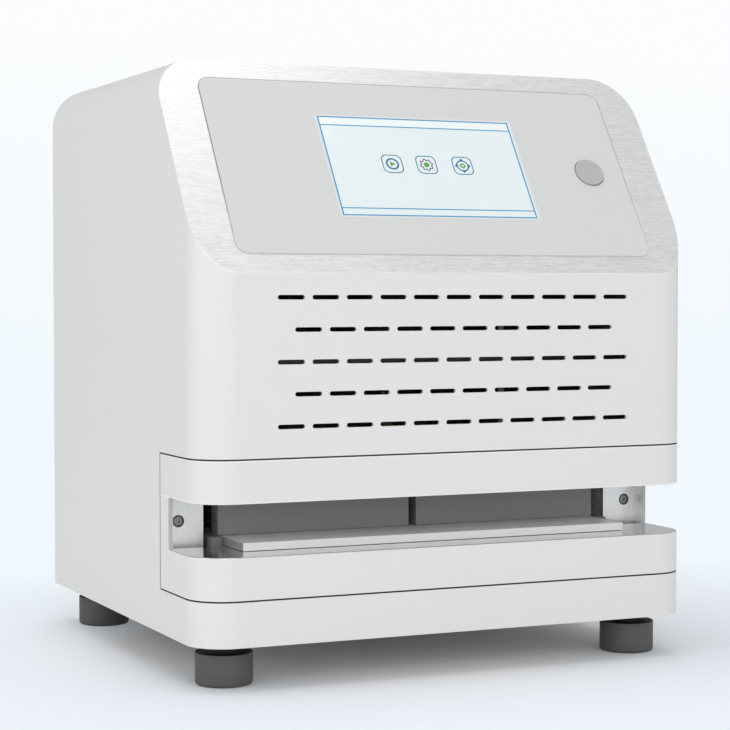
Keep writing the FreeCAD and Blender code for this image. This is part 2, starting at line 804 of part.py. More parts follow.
# Rubber feet, turned, each with a screw up through it into the pan
foot_screws = []
for label, (x, y) in foot_places.items():
    foot = new_body("foot_" + label + "_body")
    half_section = body_sketch(foot, label + "_section", "XZ")
    polygon(half_section, [
        ("foot_screw_radius + fit_gap", "foot_seat"), ("foot_head_radius + hole_gap", "foot_seat"),
        ("foot_head_radius + hole_gap", "0"), ("foot_radius - foot_chamfer", "0"),
        ("foot_radius", "foot_chamfer"), ("foot_radius", "case_bottom - foot_neck_height - foot_shoulder"),
        ("foot_radius - foot_shoulder", "case_bottom - foot_neck_height"),
        ("foot_neck", "case_bottom - foot_neck_height"), ("foot_neck", "case_bottom"),
        ("foot_screw_radius + fit_gap", "case_bottom")])
    turned = foot.newObject("PartDesign::Revolution", label + "_turned")
    turned.Profile = half_section
    turned.ReferenceAxis = (half_section, ["V_Axis"])
    turned.Angle = 360
    foot.Tip = turned
    part("foot_" + label, put(foot, x, y, "0"))
    head = rod("foot_head_" + label, "foot_head_radius", "foot_head_height", x, y,
               "foot_seat - foot_head_height")
    shank = rod("foot_shank_" + label, "foot_screw_radius", "pan_top + foot_screw_end - foot_seat", x, y,
                "foot_seat")
    foot_screws.append(fuse("foot_screw_" + label, [head, shank]))
part("foot_screws", group("all_foot_screws", foot_screws))

# Rear panel with the fan's, the inlet's and the switch's openings
panel_block = block("panel_block", "0", "case_width", "panel_in", "rear_thick + past", "case_bottom", "case_top")
panel_blank = common("panel_blank", liner, panel_block)
fan_hole = rod("fan_hole", "fan_bore", "rear_thick + 2 * past", "fan_x", "panel_in - past", "fan_z", "y")
inlet_hole = block("inlet_hole", "inlet_x", "inlet_width + 2 * fit_gap", "panel_in - past",
                   "rear_thick + 2 * past", "inlet_z - inlet_height / 2 - fit_gap",
                   "inlet_height + 2 * fit_gap")
switch_hole = block("switch_hole", "switch_x", "switch_width + 2 * fit_gap", "panel_in - past",
                    "rear_thick + 2 * past", "inlet_z - switch_height / 2 - fit_gap",
                    "switch_height + 2 * fit_gap")
part("rear_panel", cut("panel", panel_blank, [fan_hole, inlet_hole, switch_hole]))
panel_screws = []
for side in (-1, 1):
    for level in range(3):
        panel_screws.append(rod(
            "panel_screw_%d_%d" % (side + 1, level), "panel_screw_radius", "panel_screw_height",
            "%d * (half - case_wall - panel_screw_side)" % side, "panel_out",
            "panel_screw_low + %d * panel_screw_step" % level, "y"))
part("rear_panel_screws", group("all_panel_screws", panel_screws))

# Side frames: a web that carries the bridge in front and the tray drive behind, with flanges
frame = new_body("frame_web")
web = body_sketch(frame, "web_outline", "YZ")
polygon(web, [
    ("frame_front", "pan_top"), ("frame_back", "pan_top"), ("frame_back", "frame_low_top"),
    ("bridge_back + web_low_reach", "frame_low_top"), ("bridge_back + web_high_reach", "bridge_low"),
    ("frame_front", "bridge_low")])
pad(frame, web, "frame_thick")
window = body_sketch(frame, "web_window", "YZ")
polygon(window, [
    ("head_line - window_half", "frame_low_top + window_low_rim"),
    ("head_line + window_half", "frame_low_top + window_low_rim"),
    ("head_line + window_half", "bridge_low - window_top_rim"),
    ("head_line - window_half", "bridge_low - window_top_rim")])
pocket(frame, window, "frame_thick", back=True)
put(frame, "frame_x", "0", "0")
front_flange = box("front_flange", "frame_x", "frame_front", "plate_low", "inner_half - frame_x - flange_end",
                   "frame_thick", "plate_height")
top_flange = box("top_flange", "frame_x", "bridge_front", "bridge_low - frame_thick", "frame_flange",
                 "bridge_width", "frame_thick")
foot_flange = box("foot_flange", "frame_x", "frame_front + flange_inset", "pan_top", "frame_flange",
                  "frame_back - frame_front - 2 * flange_inset", "frame_thick")
shank_hole = rod("shank_hole", "cap_radius / 2 + thread_gap", "cap_shank + past", "mouth_screw_x",
                 "frame_front - past / 2", "mouth_screw_z", "y")
bridge_screw_lines = {"front": "bridge_front + bridge_screw_in", "back": "bridge_back - bridge_screw_in"}
thread_holes = [rod("thread_hole_" + tag, "bridge_screw_radius + thread_gap", "frame_thick + 2 * past",
                    "bridge_screw_x", y, "bridge_low - frame_thick - past")
                for tag, y in bridge_screw_lines.items()]
right_frame = cut("right_frame", fuse("frame_blank", [frame, front_flange, top_flange, foot_flange]),
                  [shank_hole] + thread_holes)
part("side_frame_right", right_frame)
part("side_frame_left", mirrored("left_frame", right_frame))

# Bridge across the frames, with the flanged bushes of the guide rods and four screws
bridge_blank = block("bridge_blank", "0", "2 * (frame_x + frame_flange)", "bridge_front", "bridge_width",
                     "bridge_low", "bridge_thick")
bridge_tools = [rod("bridge_bore", "screw_radius + bridge_bore_gap", "bridge_thick + 2 * past", "0",
                    "head_line", "bridge_low - past")]
bushes = []
bridge_screws = []
for side, tag in ((-1, "left"), (1, "right")):
    rod_line = "%d * rod_x" % side
    bridge_tools.append(rod("bush_seat_" + tag, "bush_radius", "bridge_thick + 2 * past", rod_line,
                            "head_line", "bridge_low - past"))
    bush_sleeve = rod("bush_sleeve_" + tag, "bush_radius", "bridge_thick + bush_below", rod_line, "head_line",
                      "bridge_low - bush_below")
    bush_top = rod("bush_top_" + tag, "bush_flange", "bush_flange_thick", rod_line, "head_line", "bridge_top")
    bush_bore = rod("bush_bore_" + tag, "rod_radius + slide_gap", "bridge_thick + 4 * past", rod_line,
                    "head_line", "bridge_low - 2 * past")
    bushes.append(cut("bush_" + tag, fuse("bush_blank_" + tag, [bush_sleeve, bush_top]), [bush_bore]))
    part("guide_rod_" + tag, rod("guide_" + tag, "rod_radius",
                                 "bridge_top + rod_spare - shield_top - rod_seat", rod_line, "head_line",
                                 "shield_top + rod_seat"))
    for place, y in bridge_screw_lines.items():
        name = "%s_%s" % (tag, place)
        x = "%d * bridge_screw_x" % side
        bridge_tools.append(rod("bridge_hole_" + name, "bridge_screw_radius + fit_gap",
                                "bridge_thick + 2 * past", x, y, "bridge_low - past"))
        head = rod("bridge_head_" + name, "bridge_head_radius", "bridge_head_height", x, y, "bridge_top")
        shank = rod("bridge_shank_" + name, "bridge_screw_radius", "bridge_thick + frame_thick", x, y,
                    "bridge_low - frame_thick")
        bridge_screws.append(fuse("bridge_screw_" + name, [head, shank]))
part("frame_bridge", cut("bridge", bridge_blank, bridge_tools))
part("guide_bushes", group("both_bushes", bushes))
part("frame_screws", group("all_frame_screws", bridge_screws))


# Stepper motors with a threaded shaft: one on the bridge for the press, one behind the tray
def motor(name, x, y, z, axis=None, angle=None):
    """Two square end caps with round corners, a narrower stack between them, a boss and a shaft hole."""
    stack_width = "motor_width - 2 * motor_waist"
    core = rounded_plate(name + "_core", stack_width, stack_width, "motor_length", "motor_radius")
    low_cap = rounded_plate(name + "_low_cap", "motor_width", "motor_width", "motor_cap", "motor_radius")
    high_cap = rounded_plate(name + "_high_cap", "motor_width", "motor_width", "motor_cap", "motor_radius")
    put(high_cap, "0", "0", "motor_length - motor_cap")
    boss = rod(name + "_boss", "motor_boss", "motor_boss_height", "0", "0", "0 - motor_boss_height")
    hole = rod(name + "_shaft_hole", "screw_radius + shaft_gap", "motor_length + 2 * past", "0", "0", "0 - past")
    made = cut(name, fuse(name + "_blank", [core, low_cap, high_cap, boss]), [hole])
    return put(made, x, y, z, axis, angle)


part("press_motor", motor("lift_motor", "0", "head_line", "bridge_top + motor_boss_height"))
part("press_screw", rod("lift_screw", "screw_radius", "bridge_top + motor_length + screw_stub - screw_end",
                        "0", "head_line", "screw_end"))
part("tray_motor", motor("slide_motor", "0", "tray_motor_y", "tray_screw_z", (1, 0, 0), "-90"))
part("tray_screw", rod("slide_screw", "screw_radius", "tray_motor_y + motor_length - front - bearing_y", "0",
                       "front + bearing_y - tray_screw_end", "tray_screw_z", "y"))

# Press head: beam, nut tower, and two heads of shield, insulator and heated block with cartridges
beam_blank = block("beam_blank", "0", "2 * beam_half", "head_line - beam_width / 2", "beam_width",
                   "shield_top", "beam_thick")
beam_tools = [rod("beam_bore", "screw_radius + beam_bore_gap", "beam_thick + 2 * past", "0", "head_line",
                  "shield_top - past")]
for side in (-1, 1):
    beam_tools.append(rod("rod_seat_%d" % (side + 1), "rod_radius", "beam_thick + past", "%d * rod_x" % side,
                          "head_line", "shield_top + rod_seat"))
part("press_beam", cut("beam", beam_blank, beam_tools))
tower_disc = rod("tower_disc", "tower_radius + tower_foot", "tower_foot_thick", "0", "head_line", "beam_top")
tower_neck = rod("tower_neck", "tower_radius", "tower_height", "0", "head_line", "beam_top")
tower_bore = rod("tower_bore", "screw_radius + slide_gap", "tower_height + 2 * past", "0", "head_line",
                 "beam_top - past")
part("press_nut", cut("nut_tower", fuse("tower_blank", [tower_disc, tower_neck]), [tower_bore]))

cartridges = []
for side, tag in ((-1, "left"), (1, "right")):
    middle = "%d * head_x" % side
    hood = block("hood_" + tag, middle, "shield_width", "shield_front", "shield_depth", "shield_low",
                 "shield_height")
    hood_inside = block("hood_inside_" + tag, middle, "shield_width - 2 * shield_wall",
                        "shield_front + shield_wall", "shield_depth - 2 * shield_wall", "shield_low - past",
                        "shield_height - shield_wall + past")
    hood_sides = block("hood_sides_" + tag, middle, "shield_width + 2 * past", "shield_front + shield_return",
                       "shield_depth - 2 * shield_return", "shield_low - past",
                       "shield_height - shield_wall + past")
    part("heat_shield_" + tag, cut("shield_" + tag, hood, [hood_inside, hood_sides]))
    part("insulator_" + tag, block("insulator_block_" + tag, middle, "heater_length",
                                   "head_line - heater_width / 2", "heater_width",
                                   "heater_low + heater_thick", "insulator_thick"))
    heater = block("heater_blank_" + tag, middle, "heater_length", "head_line - heater_width / 2",
                   "heater_width", "heater_low", "heater_thick")
    bores = []
    for row, sign in (("front", "-"), ("back", "+")):
        y = "head_line %s heater_width / 4" % sign
        z = "heater_low + heater_thick / 2"
        bores.append(rod("heater_bore_%s_%s" % (tag, row), "cartridge_radius", "heater_length + 2 * past",
                         "%s - heater_length / 2 - past" % middle, y, z, "x"))
        cartridges.append(rod("cartridge_%s_%s" % (tag, row), "cartridge_radius - thread_gap",
                              "heater_length + cartridge_stub", "%s - heater_length / 2" % middle, y, z, "x"))
    part("heater_block_" + tag, cut("heater_" + tag, heater, bores))
part("heater_cartridges", group("all_cartridges", cartridges))

# Tray: a plate with two pockets for microplates, each with a window for the wells
tray = new_body("tray_body")
tray_plan = body_sketch(tray, "tray_plan", "XY", "tray_low")
tray_near = "front + tray_front"
polygon(tray_plan, [("0 - tray_half", tray_near), ("tray_half", tray_near), ("tray_half", "tray_far"),
                    ("0 - tray_half", "tray_far")])
pad(tray, tray_plan, "tray_thick")
round_edges(tray, "tray_round", lambda edge: upright(edge) and edge.Vertexes[0].Point.y < 0)
for side, tag in ((-1, "left"), (1, "right")):
    for kind, rim, depth in (("seat", "0", "pocket_depth"), ("window", "pocket_rim", "tray_thick")):
        drawing = body_sketch(tray, "%s_%s" % (kind, tag), "XY", "tray_high")
        rectangle(drawing, "%d * head_x" % side, "pocket_length - 2 * %s" % rim, "head_line",
                  "pocket_width - 2 * %s" % rim)
        pocket(tray, drawing, depth)
pocket_edges = [number("head_x %s (pocket_length / 2 - %s)" % (sign, rim))
                for sign in "+-" for rim in ("0", "pocket_rim")]
round_edges(tray, "pocket_radius",
            lambda edge: upright(edge) and any(same(abs(edge.Vertexes[0].X), x) for x in pocket_edges))
part("tray_plate", tray)

nut_block = block("nut_block", "0", "nut_width", "tray_far - nut_inset", "nut_thick",
                  "tray_screw_z - nut_below", "tray_screw_drop + nut_below")
nut_bore = rod("nut_bore", "screw_radius + slide_gap", "nut_thick + 2 * past", "0",
               "tray_far - nut_inset - past", "tray_screw_z", "y")
part("tray_nut_bracket", cut("tray_nut", nut_block, [nut_bore]))

# Tray guides: a shelf under the tray's edge and a shoulder beside it
guide = new_body("guide_body")
guide_section = body_sketch(guide, "guide_section", "XZ")
polygon(guide_section, [
    ("lip_x - guide_shelf", "pan_top"), ("lip_x + guide_lip", "pan_top"), ("lip_x + guide_lip", "tray_high"),
    ("lip_x", "tray_high"), ("lip_x", "notch_bottom"), ("lip_x - guide_shelf", "notch_bottom")])
pad(guide, guide_section, "rear - guide_back - front - guide_front", back=True)
put(guide, "0", "front + guide_front", "0")
part("tray_guide_right", guide)
part("tray_guide_left", mirrored("left_guide", guide))

# Bearing blocks of the tray's lead screw
bearing_solids = []
for tag, y in (("front", "front + bearing_y"), ("rear", "rear_bearing_y")):
    stand = block("bearing_stand_" + tag, "0", "2 * bearing_half", y, "bearing_thick", "pan_top",
                  "tray_screw_z + bearing_over - pan_top")
    hole = rod("bearing_hole_" + tag, "screw_radius + slide_gap", "bearing_thick + 2 * past", "0",
               y + " - past", "tray_screw_z", "y")
    bearing_solids.append(cut("bearing_" + tag, stand, [hole]))
part("tray_screw_bearings", group("both_bearings", bearing_solids))

# Power supply on the rear panel, with a stepped bay for its terminals
supply_case = block("supply_case", "supply_x", "supply_width", "panel_in - supply_depth", "supply_depth",
                    "supply_low", "supply_height")
supply_bay = box("supply_bay", "bay_x", "panel_in - supply_depth - past", "supply_low - past",
                 "terminal_bay + past", "supply_depth - terminal_ledge + past", "supply_height + 2 * past")
terminal_strip = box("terminal_strip", "bay_x", "panel_in - terminal_ledge - terminal_depth",
                     "supply_low + terminal_ledge", "terminal_bay - terminal_margin", "terminal_depth",
                     "supply_height - 2 * terminal_ledge")
part("power_supply", fuse("supply", [cut("supply_step", supply_case, [supply_bay]), terminal_strip]))

# Controller board on four posts, with a finned heat sink and plug sockets along its lower edge
part("controller_board", block("board", "board_x", "board_width", "board_face", "board_thick", "board_low",
                               "board_height"))
posts = []
for side in (-1, 1):
    for level in (-1, 1):
        posts.append(rod("post_%d_%d" % (side + 1, level + 1), "standoff_radius", "standoff_length",
                         "board_x + %d * (board_width / 2 - standoff_inset)" % side,
                         "panel_in - standoff_length",
                         "board_z + %d * (board_height / 2 - standoff_inset)" % level, "y"))
part("board_standoffs", group("all_posts", posts))
sink = new_body("sink_body")
sink_outline = body_sketch(sink, "sink_outline", "XZ")
pad(sink, rectangle(sink_outline, "0", "sink_width", "0", "sink_height"), "sink_base")
fin_outline = body_sketch(sink, "fin_outline", "XZ", "sink_base")
rectangle(fin_outline, "0 - sink_pitch * %g" % ((sink_fin_count - 1) / 2), "sink_fin", "0", "sink_height")
spread(sink, pad(sink, fin_outline, "sink_fin_depth"), fin_outline, sink_fin_count, "sink_pitch")
part("board_heatsink", put(sink, "board_x", "board_face", "board_z + standoff_inset"))
plugs = []
for i in range(plug_count):
    plugs.append(block("plug_%d" % i, "board_x + %g * plug_step" % (i - (plug_count - 1) / 2), "plug_width",
                       "board_face - plug_depth", "plug_depth", "board_low + standoff_inset", "plug_height"))
part("board_connectors", group("all_plugs", plugs))

# Fan behind the rear panel: a square frame with a duct and a four-armed spider
fan_blank = block("fan_blank", "fan_x", "fan_width", "fan_front", "fan_depth", "fan_z - fan_width / 2",
                  "fan_width")
fan_duct = rod("fan_duct", "fan_bore", "fan_depth + 2 * past", "fan_x", "fan_front - past", "fan_z", "y")
spider = [
    rod("fan_motor_seat", "fan_hub", "spider_thick", "fan_x", "fan_front", "fan_z", "y"),
    block("spider_wide", "fan_x", "spider_span", "fan_front", "spider_thick", "fan_z - spider_arm / 2",
          "spider_arm"),
    block("spider_tall", "fan_x", "spider_arm", "fan_front", "spider_thick", "fan_z - spider_span / 2",
          "spider_span"),
]
part("fan_frame", fuse("fan_body", [cut("fan_ring", fan_blank, [fan_duct])] + spider))

# Fan rotor: curved blades round a hub, all ending on one cylinder inside the duct
blades = []
for i in range(blade_count):
    outer_bend = rod("blade_outer_%d" % i, "blade_curve", "2 * fan_bore", "blade_root", "0",
                     "0 - blade_shift", "x")
    inner_bend = rod("blade_inner_%d" % i, "blade_curve - blade_thick", "2 * fan_bore + past",
                     "blade_root - past / 2", "0", "0 - blade_shift", "x")
    span = box("blade_span_%d" % i, "0", "blade_curve / 4", "blade_curve / 4 - blade_shift", "3 * fan_bore",
               "blade_curve", "blade_curve")
    blade = common("blade_%d" % i, cut("blade_bend_%d" % i, outer_bend, [inner_bend]), span)
    blade.Placement.Rotation = FreeCAD.Rotation(Vector(0, 1, 0), 360.0 / blade_count * i)
    blades.append(put(blade, "fan_x", "fan_front + spider_thick + fan_hub_end - blade_curve / 4", "fan_z"))
sweep = rod("blade_sweep", "fan_tip", "fan_depth", "fan_x", "fan_front", "fan_z", "y")
hub = rod("fan_hub_can", "fan_hub", "fan_depth - spider_thick - fan_hub_end - hole_gap", "fan_x",
          "fan_front + spider_thick + hole_gap", "fan_z", "y")
part("fan_rotor", fuse("rotor", [hub, common("blade_ring", fuse("all_blades", blades), sweep)]))

# Wire guard outside the fan: rings on two crossed bars
wires = []
for i in range(guard_ring_count):
    ring = bind(doc.addObject("Part::Torus", "wire_ring_%d" % i),
                {"Radius1": "fan_bore - hole_gap - %d * wire_step" % i, "Radius2": "wire_radius"})
    wires.append(put(ring, "fan_x", "wire_line", "fan_z", (1, 0, 0), "90"))
for angle in (45, 135):
    wire = bar("guard_bar_%d" % angle, "wire_radius", "2 * guard_reach")
    wire.Placement.Rotation = FreeCAD.Rotation(Vector(0, 1, 0), angle)
    wires.append(put(wire, "fan_x - guard_reach * sin(%d)" % angle, "wire_line",
                     "fan_z - guard_reach * cos(%d)" % angle))
part("fan_guard", fuse("guard", wires))

# Mains inlet: a flanged shell with three blades inside
inlet_flange = block("inlet_flange", "inlet_x", "inlet_width + 2 * inlet_flange_over", "panel_out",
                     "inlet_flange_thick", "inlet_z - inlet_height / 2 - inlet_flange_rise",
                     "inlet_height + 2 * inlet_flange_rise")
inlet_can = block("inlet_can", "inlet_x", "inlet_width", "panel_in - inlet_depth", "inlet_depth + rear_thick",
                  "inlet_z - inlet_height / 2", "inlet_height")
inlet_cavity = block("inlet_cavity", "inlet_x", "inlet_width - 2 * inlet_wall",
                     "panel_in - inlet_depth + inlet_floor", "inlet_depth + 2 * past",
                     "inlet_z - inlet_height / 2 + inlet_wall", "inlet_height - 2 * inlet_wall")
inlet_shell = cut("inlet_shell", fuse("inlet_blank", [inlet_flange, inlet_can]), [inlet_cavity])
contact_places = {
    "left": ("inlet_x - inlet_pin_x", "inlet_z - inlet_pin_low"),
    "right": ("inlet_x + inlet_pin_x", "inlet_z - inlet_pin_low"),
    "middle": ("inlet_x", "inlet_z + inlet_pin_up"),
}
contacts = [block("inlet_pin_" + tag, x, "inlet_pin_width", "panel_in - inlet_depth + inlet_floor / 2",
                  "inlet_pin_length + inlet_floor / 2", z + " - inlet_pin_height / 2", "inlet_pin_height")
            for tag, (x, z) in contact_places.items()]
part("mains_inlet", fuse("inlet", [inlet_shell] + contacts))

# Mains switch: a body with a well and a rocker on two trunnions
switch_flange = block("switch_flange", "switch_x", "switch_width + 2 * switch_rim", "panel_out",
                      "switch_rim_thick", "inlet_z - switch_height / 2 - switch_rim",
                      "switch_height + 2 * switch_rim")
switch_can = block("switch_can", "switch_x", "switch_width", "panel_in - switch_depth",
                   "switch_depth + rear_thick", "inlet_z - switch_height / 2", "switch_height")
switch_hollow = block("switch_hollow", "switch_x", "well_width", "panel_in - switch_well",
                      "switch_well + 2 * past", "inlet_z - well_height / 2", "well_height")
trunnion_hole = rod("trunnion_hole", "trunnion_radius + slide_gap", "switch_height + 2 * past", "switch_x",
                    "panel_out - rocker_pivot", "inlet_z - switch_height / 2 - past")
part("switch_body", cut("switch", fuse("switch_blank", [switch_flange, switch_can]),
                        [switch_hollow, trunnion_hole]))
rocker = new_body("rocker_body")
rocker_side = body_sketch(rocker, "rocker_side", "XY")
polygon(rocker_side, [
    ("0 - rocker_half", "0 - rocker_end"), ("0", "0 - rocker_deep"), ("rocker_half", "0 - rocker_end"),
    ("rocker_half", "0 - rocker_low"), ("0", "0 - rocker_low"), ("0 - rocker_half", "rocker_high")])
pad(rocker, rocker_side, "well_height - 2 * fit_gap")
put(rocker, "switch_x", "panel_out", "inlet_z - well_height / 2 + fit_gap")
trunnion = rod("trunnion", "trunnion_radius", "switch_height", "switch_x", "panel_out - rocker_pivot",
               "inlet_z - switch_height / 2")
part("rocker", fuse("rocker_with_pins", [rocker, trunnion]))

doc.recompute()
for thing in doc.Objects:
    if "Invalid" in thing.State or "Error" in thing.State:
        raise ValueError("not made: " + thing.Name)
os.makedirs("parts", exist_ok=True)
for name, thing in parts:
    if thing.Shape.isNull() or not thing.Shape.isValid():
        raise ValueError("bad shape: " + name)
    thing.Shape.exportStep("parts/%s.step" % name)
print(len(parts), "sub-parts written")
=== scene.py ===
import math

import bmesh
import bpy
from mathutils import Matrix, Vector


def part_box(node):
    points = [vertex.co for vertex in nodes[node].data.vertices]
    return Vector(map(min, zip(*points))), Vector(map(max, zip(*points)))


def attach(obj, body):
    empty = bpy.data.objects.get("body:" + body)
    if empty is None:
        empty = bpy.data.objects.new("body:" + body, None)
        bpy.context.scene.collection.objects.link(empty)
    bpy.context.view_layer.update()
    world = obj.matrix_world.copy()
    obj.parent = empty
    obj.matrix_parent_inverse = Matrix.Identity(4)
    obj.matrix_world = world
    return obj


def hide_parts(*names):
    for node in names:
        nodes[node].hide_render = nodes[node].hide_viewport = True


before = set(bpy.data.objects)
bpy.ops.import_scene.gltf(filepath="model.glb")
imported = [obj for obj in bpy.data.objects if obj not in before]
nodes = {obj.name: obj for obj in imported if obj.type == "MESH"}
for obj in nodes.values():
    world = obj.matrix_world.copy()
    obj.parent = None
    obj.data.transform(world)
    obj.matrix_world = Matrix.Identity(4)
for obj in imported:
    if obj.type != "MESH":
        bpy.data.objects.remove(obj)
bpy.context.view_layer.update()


# The camera: a long lens held at the height of the mouth, a good step to the left of the instrument.
# Its place, turn and lens were worked out from straight edges of the casing.
def add_object(name, data):
    """A new object that holds this data, linked into the scene."""
    added = bpy.data.objects.new(name, data)
    bpy.context.collection.objects.link(added)
    return added


look_down, turn_right = 2.101, 24.344
lens = bpy.data.cameras.new("camera")
lens.sensor_width = 36
lens.lens = 99.81
lens.clip_end = 50
camera = add_object("camera", lens)
camera.location = (-0.6341, -1.4189, 0.2661)
camera.rotation_euler = (math.radians(90 - look_down), 0, math.radians(-turn_right))
bpy.context.scene.camera = camera
bpy.context.scene.view_settings.view_transform = "Standard"

# Casing: bent steel sheet, powder coated in a warm light grey with a very fine grain. The front piece
# round the hand notch has the same coat, its ledge is polished, and the seams round it are dark lines.
# The roof is painted darker towards the top as painted shade. Thin bands under the upper seam and over
# the mouth are painted highlights. The inside is painted a darker grey as painted shade, apart from
# where it shows in the mouth.
mm = 0.001


class Shade:
    """A number on its way through a material's nodes; arithmetic on it adds Math nodes."""

    def __init__(self, tree, out):
        self.tree = tree
        self.out = out

    def math(self, operation, *values):
        maths = self.tree.nodes.new("ShaderNodeMath")
        maths.operation = operation
        for socket, value in zip(maths.inputs, values):
            if isinstance(value, Shade):
                self.tree.links.new(value.out, socket)
            else:
                socket.default_value = value
        return Shade(self.tree, maths.outputs[0])

    def __add__(self, other):
        return self.math("ADD", self, other)

    def __sub__(self, other):
        return self.math("SUBTRACT", self, other)

    def __mul__(self, other):
        return self.math("MULTIPLY", self, other)

    def __truediv__(self, other):
        return self.math("DIVIDE", self, other)

    def __rsub__(self, other):
        return self.math("SUBTRACT", other, self)

    def __rtruediv__(self, other):
        return self.math("DIVIDE", other, self)

    def __gt__(self, other):
        return self.math("GREATER_THAN", self, other)

    def __lt__(self, other):
        return self.math("LESS_THAN", self, other)

    def __abs__(self):
        return self.math("ABSOLUTE", self)

    __radd__ = __add__
    __rmul__ = __mul__

    def root(self):
        return self.math("SQRT", self)

    def above(self, low):
        """The number, but never less than low."""
        return self.math("MAXIMUM", self, low)

    def clamped(self):
        """The number, but never outside 0 to 1."""
        made = self.math("ADD", self, 0)
        made.out.node.use_clamp = True
        return made

    def ramp(self, low, high):
        """0 at low, 1 at high, and straight between them."""
        return ((self - low) / (high - low)).clamped()

    def near(self, middle, reach):
        """1 within this reach of the middle, and 0 elsewhere."""
        return abs(self - middle) < reach

    def between(self, low, high):
        """1 from low to high, and 0 elsewhere."""
        return (self > low) * (self < high)


def diagonal(a, b):
    """The long side of a right angle whose short sides are two shades."""
    return (a * a + b * b).root()


def grey(value):
    return (value, value, value)


class Finish:
    """A material with its shader, and one method that adds any other node."""

    def __init__(self, name, **sockets):
        self.material = bpy.data.materials.new(name)
        self.material.use_nodes = True
        self.tree = self.material.node_tree
        self.shader = self.tree.nodes["Principled BSDF"]
        self.set(**sockets)

    def set(self, **sockets):
        for name, value in sockets.items():
            self.feed(self.shader.inputs[name.replace("_", " ")], value)
        return self

    def feed(self, socket, value):
        if isinstance(value, Shade):
            self.tree.links.new(value.out, socket)
        elif socket.type == "RGBA" and len(value) == 3:
            socket.default_value = (*value, 1)
        else:
            socket.default_value = value

    def node(self, kind, settings, inputs, output=0):
        made = self.tree.nodes.new("ShaderNode" + kind)
        for name, value in settings.items():
            setattr(made, name, value)
        for key, value in inputs.items():
            self.feed(made.inputs[key], value)
        return Shade(self.tree, made.outputs[output])

    def blend(self, amount, low, high):
        """One colour where the amount is 0 and the other where it is 1."""
        return self.node("Mix", {"data_type": "RGBA"}, {0: amount, 6: low, 7: high}, 2)

    def place(self):
        """Where a point of the surface is, in the frame's own metres."""
        return self.node("TexCoord", {}, {}, "Object")

    def axes(self):
        return [self.node("SeparateXYZ", {}, {0: self.place()}, i) for i in range(3)]

    def grain(self, size, detail=2.0, rough=0.5):
        """Noise with spots of a size in millimetres, or of three sizes along X, Y and Z."""
        sizes = size if isinstance(size, tuple) else (size, size, size)
        scale = [1 / (spot * mm) for spot in sizes]
        stretched = self.node("Mapping", {}, {"Vector": self.place(), "Scale": scale})
        noise = {"Vector": stretched, "Scale": 1.0, "Detail": detail, "Roughness": rough}
        return self.node("TexNoise", {}, noise)

    def relief(self, height, depth):
        """Bumps of the given depth in millimetres."""
        bump = self.node("Bump", {}, {"Height": height, "Distance": depth * mm, "Strength": 1.0})
        return self.set(Normal=bump)

    def tinted(self, colour, swing, noise):
        """The colour, made darker and lighter by a noise."""
        dark = [value * (1 - swing) for value in colour]
        light = [min(1, value * (1 + swing)) for value in colour]
        return self.set(Base_Color=self.blend(noise, dark, light))

    def put_on(self, *names):
        for name in names:
            thing = nodes[name] if isinstance(name, str) else name
            thing.data.materials.clear()
            thing.data.materials.append(self.material)
        return self


front_y, rear_y = -175 * mm, 175 * mm
half_width, case_top = 190 * mm, 427.2 * mm
corner_round, shoulder_round, skin = 27 * mm, 31.3 * mm, 1.3 * mm
low_seam, high_seam, side_seam, seam_half = 60.85 * mm, 154.65 * mm, front_y + 80 * mm, 0.55 * mm
side_seam_middle, side_seam_reach = 108 * mm, 47 * mm
ledge_height, mouth_end, cheek_inside = 90.3 * mm, front_y + 62 * mm, 187 * mm
mouth_top = ledge_height + 35 * mm

coat = Finish("casing_paint", Specular_IOR_Level=0.22, Coat_Roughness=0.08, Coat_Weight=0.05)
x, y, z = coat.axes()
beside_corner = (abs(x) - (half_width - corner_round)).above(0)
before_corner = (front_y + corner_round - y).above(0)
beside_shoulder = (abs(x) - (half_width - shoulder_round)).above(0)
over_shoulder = (z - (case_top - shoulder_round)).above(0)
under_walls = corner_round - diagonal(beside_corner, before_corner) > skin
under_roof = shoulder_round - diagonal(beside_shoulder, over_shoulder) > skin
inside = under_walls * under_roof * (y < rear_y - 0.5 * mm)
seen_inside = z.between(ledge_height - 1 * mm, mouth_top + 1 * mm) * (y < mouth_end + 13 * mm)
# The inside, away from the mouth, is painted a darker grey: painted shade.
inside_painted_shade = inside * (1 - seen_inside)

in_mouth = ((y < mouth_end - 0.5 * mm) + (abs(x) < cheek_inside) * (y < side_seam)).clamped()
ledge = z.near(ledge_height, 0.6 * mm) * in_mouth
cut_edge = y.near(mouth_end, 0.3 * mm) * z.between(ledge_height + 0.1 * mm, mouth_top - 0.1 * mm)
# Thin bands under the upper seam and over the mouth are painted lighter: painted highlights on their edges.
seam_painted_highlight = (high_seam - z).between(seam_half, seam_half + 0.7 * mm)
mouth_painted_highlight = z.between(mouth_top + 0.1 * mm, mouth_top + 0.9 * mm)
painted_highlight = ((seam_painted_highlight + mouth_painted_highlight) * (y < side_seam)).clamped()
flat_lines = (z.near(low_seam, seam_half) + z.near(high_seam, seam_half)) * (y < side_seam)
upright_line = y.near(side_seam, seam_half) * z.near(side_seam_middle, side_seam_reach)
lines = (flat_lines + upright_line).clamped()

coat_grain = coat.grain(0.5)
wall_tone = coat.blend(coat_grain, (0.785, 0.785, 0.787), (0.805, 0.805, 0.807))
# Towards the top the coat is painted darker: painted shade on the roof.
roof_painted_shade = z.ramp(case_top - 28 * mm, case_top - 6 * mm)
tone = coat.blend(roof_painted_shade, wall_tone, (0.69, 0.69, 0.695))
for mask, value in ((painted_highlight, 0.93), (cut_edge, 0.58), (ledge, 0.62), (inside_painted_shade, 0.50), (lines, 0.02)):
    tone = coat.blend(mask, tone, grey(value))
coat.set(Base_Color=tone, Roughness=0.32 + coat_grain * 0.1 - ledge * 0.22, Metallic=ledge * 0.9)
coat.relief(coat_grain, 0.012)
coat.put_on("housing_shell", "mouth_bezel")


